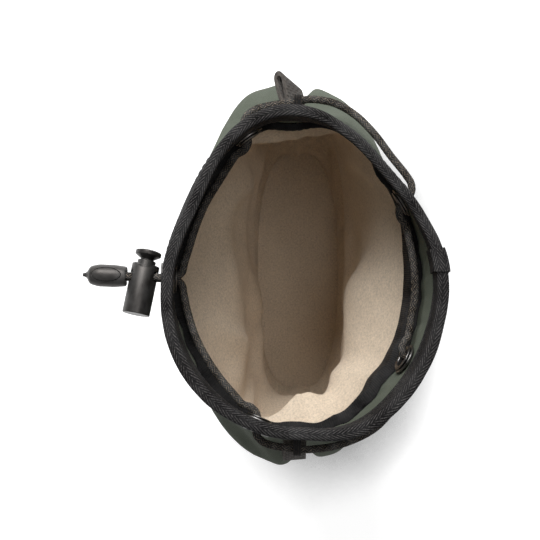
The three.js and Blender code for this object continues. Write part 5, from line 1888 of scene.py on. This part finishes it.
class POUCH_OT_side_loops(PieceOperator, bpy.types.Operator):
    """Folds a short length of webbing into each side seam"""

    bl_idname = "pouch.side_loops"
    bl_label = "Side loops"

    def loop(self, name, wall, trim, turn, slant, swing, droop, roll, twist):
        """One folded strap: slanted, swung along the wall, drooping, rolled, and twisted towards its fold."""
        height = wall.rim - trim.side_drop
        outward = wall.axes(turn, height, trim.eyelet_flange / 2)[0]
        half = trim.side_gap / 2 + trim.webbing
        clear = 0.7 * MM + trim.side_width / 2 * math.sin(abs(swing)) + half * math.sin(droop)
        place = Matrix.Translation(wall.faceted(turn, height, 0) + outward * clear)
        place = place @ Matrix.Rotation(math.atan2(outward.y, outward.x) + swing, 4, "Z")
        place = place @ Matrix.Rotation(droop, 4, "Y") @ Matrix.Rotation(roll, 4, "X")
        line = [(0.2 * MM, -trim.side_gap * 0.3), (trim.side_reach * 0.5, -trim.side_gap * 0.75)]
        bend = trim.side_reach - half
        for angle in np.linspace(-np.pi / 2, np.pi / 2, 9):
            middle = trim.side_gap / 2 + trim.webbing / 2
            line.append((bend + middle * math.cos(angle), middle * math.sin(angle)))
        line += [(trim.side_reach * 0.5, trim.side_gap * 0.75), (0.2 * MM, trim.side_gap * 0.3)]
        middle = through([(a, b, 0) for a, b in line], 0.5 * MM)[:, :2]
        heading = np.gradient(middle, axis=0)
        heading /= np.linalg.norm(heading, axis=1, keepdims=True)
        normal = np.stack([heading[:, 1], -heading[:, 0]], 1)
        across = np.linspace(-trim.side_width / 2, trim.side_width / 2, 15)
        rows = []
        for lift in (trim.webbing / 2, -trim.webbing / 2):
            line_points = middle + normal * lift
            grid = np.zeros((len(across), len(middle), 3))
            grid[..., 0], grid[..., 2] = line_points[None, :, 0], line_points[None, :, 1]
            grid[..., 1] = across[:, None]
            rows.append(grid)
        for grid in rows:
            share = np.clip(grid[..., 0] / trim.side_reach, 0, 1)
            angle = twist * share
            grid[..., 0] += slant * grid[..., 1] * share
            y, z = grid[..., 1].copy(), grid[..., 2].copy()
            grid[..., 1] = y * np.cos(angle) - z * np.sin(angle)
            grid[..., 2] = y * np.sin(angle) + z * np.cos(angle)
        piece = grid_sheet(name, rows[0], rows[1])
        piece.data.transform(place)
        return piece

    def make(self, wall, shape, trim, lock):
        finish = finishes()["webbing"]
        poses = (
            ("left", LEFT_SEAM_TURN, 0.8, 12, 0, 38, 14),
            ("right", SEAM_TURN, 0, 0, 60, 0, -8),
        )
        left, right = (
            self.loop(f"{name}_strap", wall, trim, turn, slant, *(math.radians(angle) for angle in angles))
            for name, turn, slant, *angles in poses
        )
        return [
            dress(left, finish, "webbing", "side_loop_left"),
            dress(right, finish, "webbing", "side_loop_right"),
        ]


class POUCH_OT_keepers(PieceOperator, bpy.types.Operator):
    """Makes the small loops in the seams that hold the cord"""

    bl_idname = "pouch.keepers"
    bl_label = "Cord keepers"

    def make(self, wall, shape, trim, lock):
        ring = trim.cord / 2 + LAYER_GAP + trim.keeper_thickness / 2
        pieces = []
        for name, turn in (("left", LEFT_SEAM_TURN), ("right", SEAM_TURN)):
            outward = wall.axes(turn, wall.eyelets, trim.eyelet_flange / 2)[0]
            place = Matrix.Translation(wall.faceted(turn, wall.eyelets, 0))
            place = place @ Matrix.Rotation(math.atan2(outward.y, outward.x), 4, "Z")
            line = [(0.2 * MM, 0.75 * MM, 0), (trim.keeper_stand * 0.45, ring * 0.92, 0)]
            for angle in np.linspace(np.pi / 2, -np.pi / 2, 11):
                line.append((trim.keeper_stand + ring * math.cos(angle), ring * math.sin(angle), 0))
            line += [(trim.keeper_stand * 0.45, -ring * 0.92, 0), (0.2 * MM, -0.75 * MM, 0)]
            middle = through(line, 0.35 * MM)[:, :2]
            heading = np.gradient(middle, axis=0)
            heading /= np.linalg.norm(heading, axis=1, keepdims=True)
            normal = np.stack([-heading[:, 1], heading[:, 0]], 1)
            across = np.linspace(-trim.keeper_width / 2, trim.keeper_width / 2, 7)
            grids = []
            for lift in (trim.keeper_thickness / 2, -trim.keeper_thickness / 2):
                grid = np.zeros((len(across), len(middle), 3))
                points = middle + normal * lift
                grid[..., 0], grid[..., 2] = points[None, :, 0], points[None, :, 1]
                grid[..., 1] = across[:, None]
                grids.append(grid)
            piece = grid_sheet(f"{name}_keeper", grids[0], grids[1])
            piece.data.transform(place)
            pieces.append(dress(piece, finishes()["ribbed"], "black_tape", f"cord_keeper_{name}"))
        return pieces


class POUCH_OT_stitching(PieceOperator, bpy.types.Operator):
    """Sews the rows of thread along the tapes and the belt loop"""

    bl_idname = "pouch.stitching"
    bl_label = "Stitching"

    def make(self, wall, shape, trim, lock):
        finish = finishes()["thread"]
        turns = np.arange(0, 360.5, 1.0)
        proud = -0.12 * MM
        out = -LAYER_GAP - trim.binding_thickness - proud
        inn = wall.band + LAYER_GAP + trim.binding_thickness + proud
        rows = [
            ("binding_stitch_outside", wall.binding_hem + 1.6 * MM, out, 1),
            ("binding_stitch_inside", wall.binding_hem + 1.6 * MM, inn, -1),
            ("tape_stitch", wall.tape_hem + 1.5 * MM, wall.tape_inner + proud, -1),
        ]
        pieces = []
        for name, height, inset, side in rows:
            if name == "binding_stitch_inside":
                height = height - uneven_hem(turns) * 0.8
            if name == "tape_stitch":
                height = height + 2.0 * MM * window(turns, 140, 335)
                inset = inset + lining_lean(wall, turns, height) - edge_squeeze(wall, turns, wall.rim)
            points = wall.skin(turns, height, inset)
            normals = wall.skin(turns, height, inset - 1 * MM) - points
            piece = thread_run(name, points, normals * side, 2.8 * MM, 0.4 * MM)
            pieces.append(dress(piece, finish, "black_tape"))
        pieces += self.belt(wall, trim, finish)
        return pieces

    def belt(self, wall, trim, finish):
        """A box of stitches at each end of the belt loop."""
        top = wall.rim - trim.belt_top_drop
        half = trim.belt_width / 2 - 2.2 * MM
        pieces = []
        for name, low in (("low", trim.belt_bottom), ("high", top - trim.belt_sewn)):
            edges = low + 1.8 * MM, low + trim.belt_sewn - 1.8 * MM
            loop = [(-half, edges[0]), (half, edges[0]), (half, edges[1]), (-half, edges[1])]
            loop.append(loop[0])
            path = []
            for (x0, z0), (x1, z1) in zip(loop, loop[1:]):
                count = max(int(math.hypot(x1 - x0, z1 - z0) / (1 * MM)), 2)
                path += [(x0 + (x1 - x0) * k / count, z0 + (z1 - z0) * k / count) for k in range(count)]
            x, z = np.array(path + [loop[-1]]).T
            top_face = trim.belt_bottom + trim.belt_sewn, top - trim.belt_sewn
            free = (z - top_face[0]) / (top_face[1] - top_face[0])
            stand = LAYER_GAP + trim.belt_stand * np.sin(np.pi * np.clip(free, 0, 1)) ** 0.6
            turn = back_turn(wall, x, z)
            points = wall.smooth(turn, z, -stand - trim.webbing - 0.05 * MM)
            normals = wall.smooth(turn, z, -stand - trim.webbing - 1 * MM) - points
            piece = thread_run(f"belt_stitch_{name}", points, normals, 2.6 * MM, 0.45 * MM)
            pieces.append(dress(piece, finish, "black_tape"))
        return pieces


GROUPS = (
    ("pouch_shape", PouchShape),
    ("pouch_trim", PouchTrim),
    ("pouch_lock", PouchLock),
    ("pouch_finish", PouchFinish),
    ("pouch_stage", PouchStage),
)

OPERATORS = (
    POUCH_OT_stage,
    POUCH_OT_drawcord,
    POUCH_OT_outer_panels,
    POUCH_OT_padding,
    POUCH_OT_facing,
    POUCH_OT_lining,
    POUCH_OT_binding,
    POUCH_OT_lining_tape,
    POUCH_OT_eyelets,
    POUCH_OT_cord_lock,
    POUCH_OT_cord_end,
    POUCH_OT_belt_loop,
    POUCH_OT_side_loops,
    POUCH_OT_keepers,
    POUCH_OT_stitching,
)


class POUCH_PT_build(bpy.types.Panel):
    """Lists the steps that build the pouch"""

    bl_idname = "POUCH_PT_build"
    bl_label = "Drawstring pouch"
    bl_space_type = "VIEW_3D"
    bl_region_type = "UI"
    bl_category = "Pouch"

    def draw(self, context):
        for operator in OPERATORS:
            self.layout.operator(operator.bl_idname)
        for name, group in GROUPS:
            box = self.layout.box()
            for prop in group.__annotations__:
                box.prop(getattr(context.scene, name), prop)


def register():
    """Adds the sizes, the operators and the panel."""
    for name, group in GROUPS:
        bpy.utils.register_class(group)
        setattr(bpy.types.Scene, name, PointerProperty(type=group))
    for operator in (*OPERATORS, POUCH_PT_build):
        bpy.utils.register_class(operator)


def unregister():
    """Takes them away again."""
    for operator in (POUCH_PT_build, *reversed(OPERATORS)):
        bpy.utils.unregister_class(operator)
    for name, group in reversed(GROUPS):
        delattr(bpy.types.Scene, name)
        bpy.utils.unregister_class(group)


def main():
    """Builds the pouch on its stage."""
    register()
    for operator in OPERATORS:
        getattr(bpy.ops.pouch, operator.bl_idname.split(".")[1])()


if __name__ == "__main__":
    main()
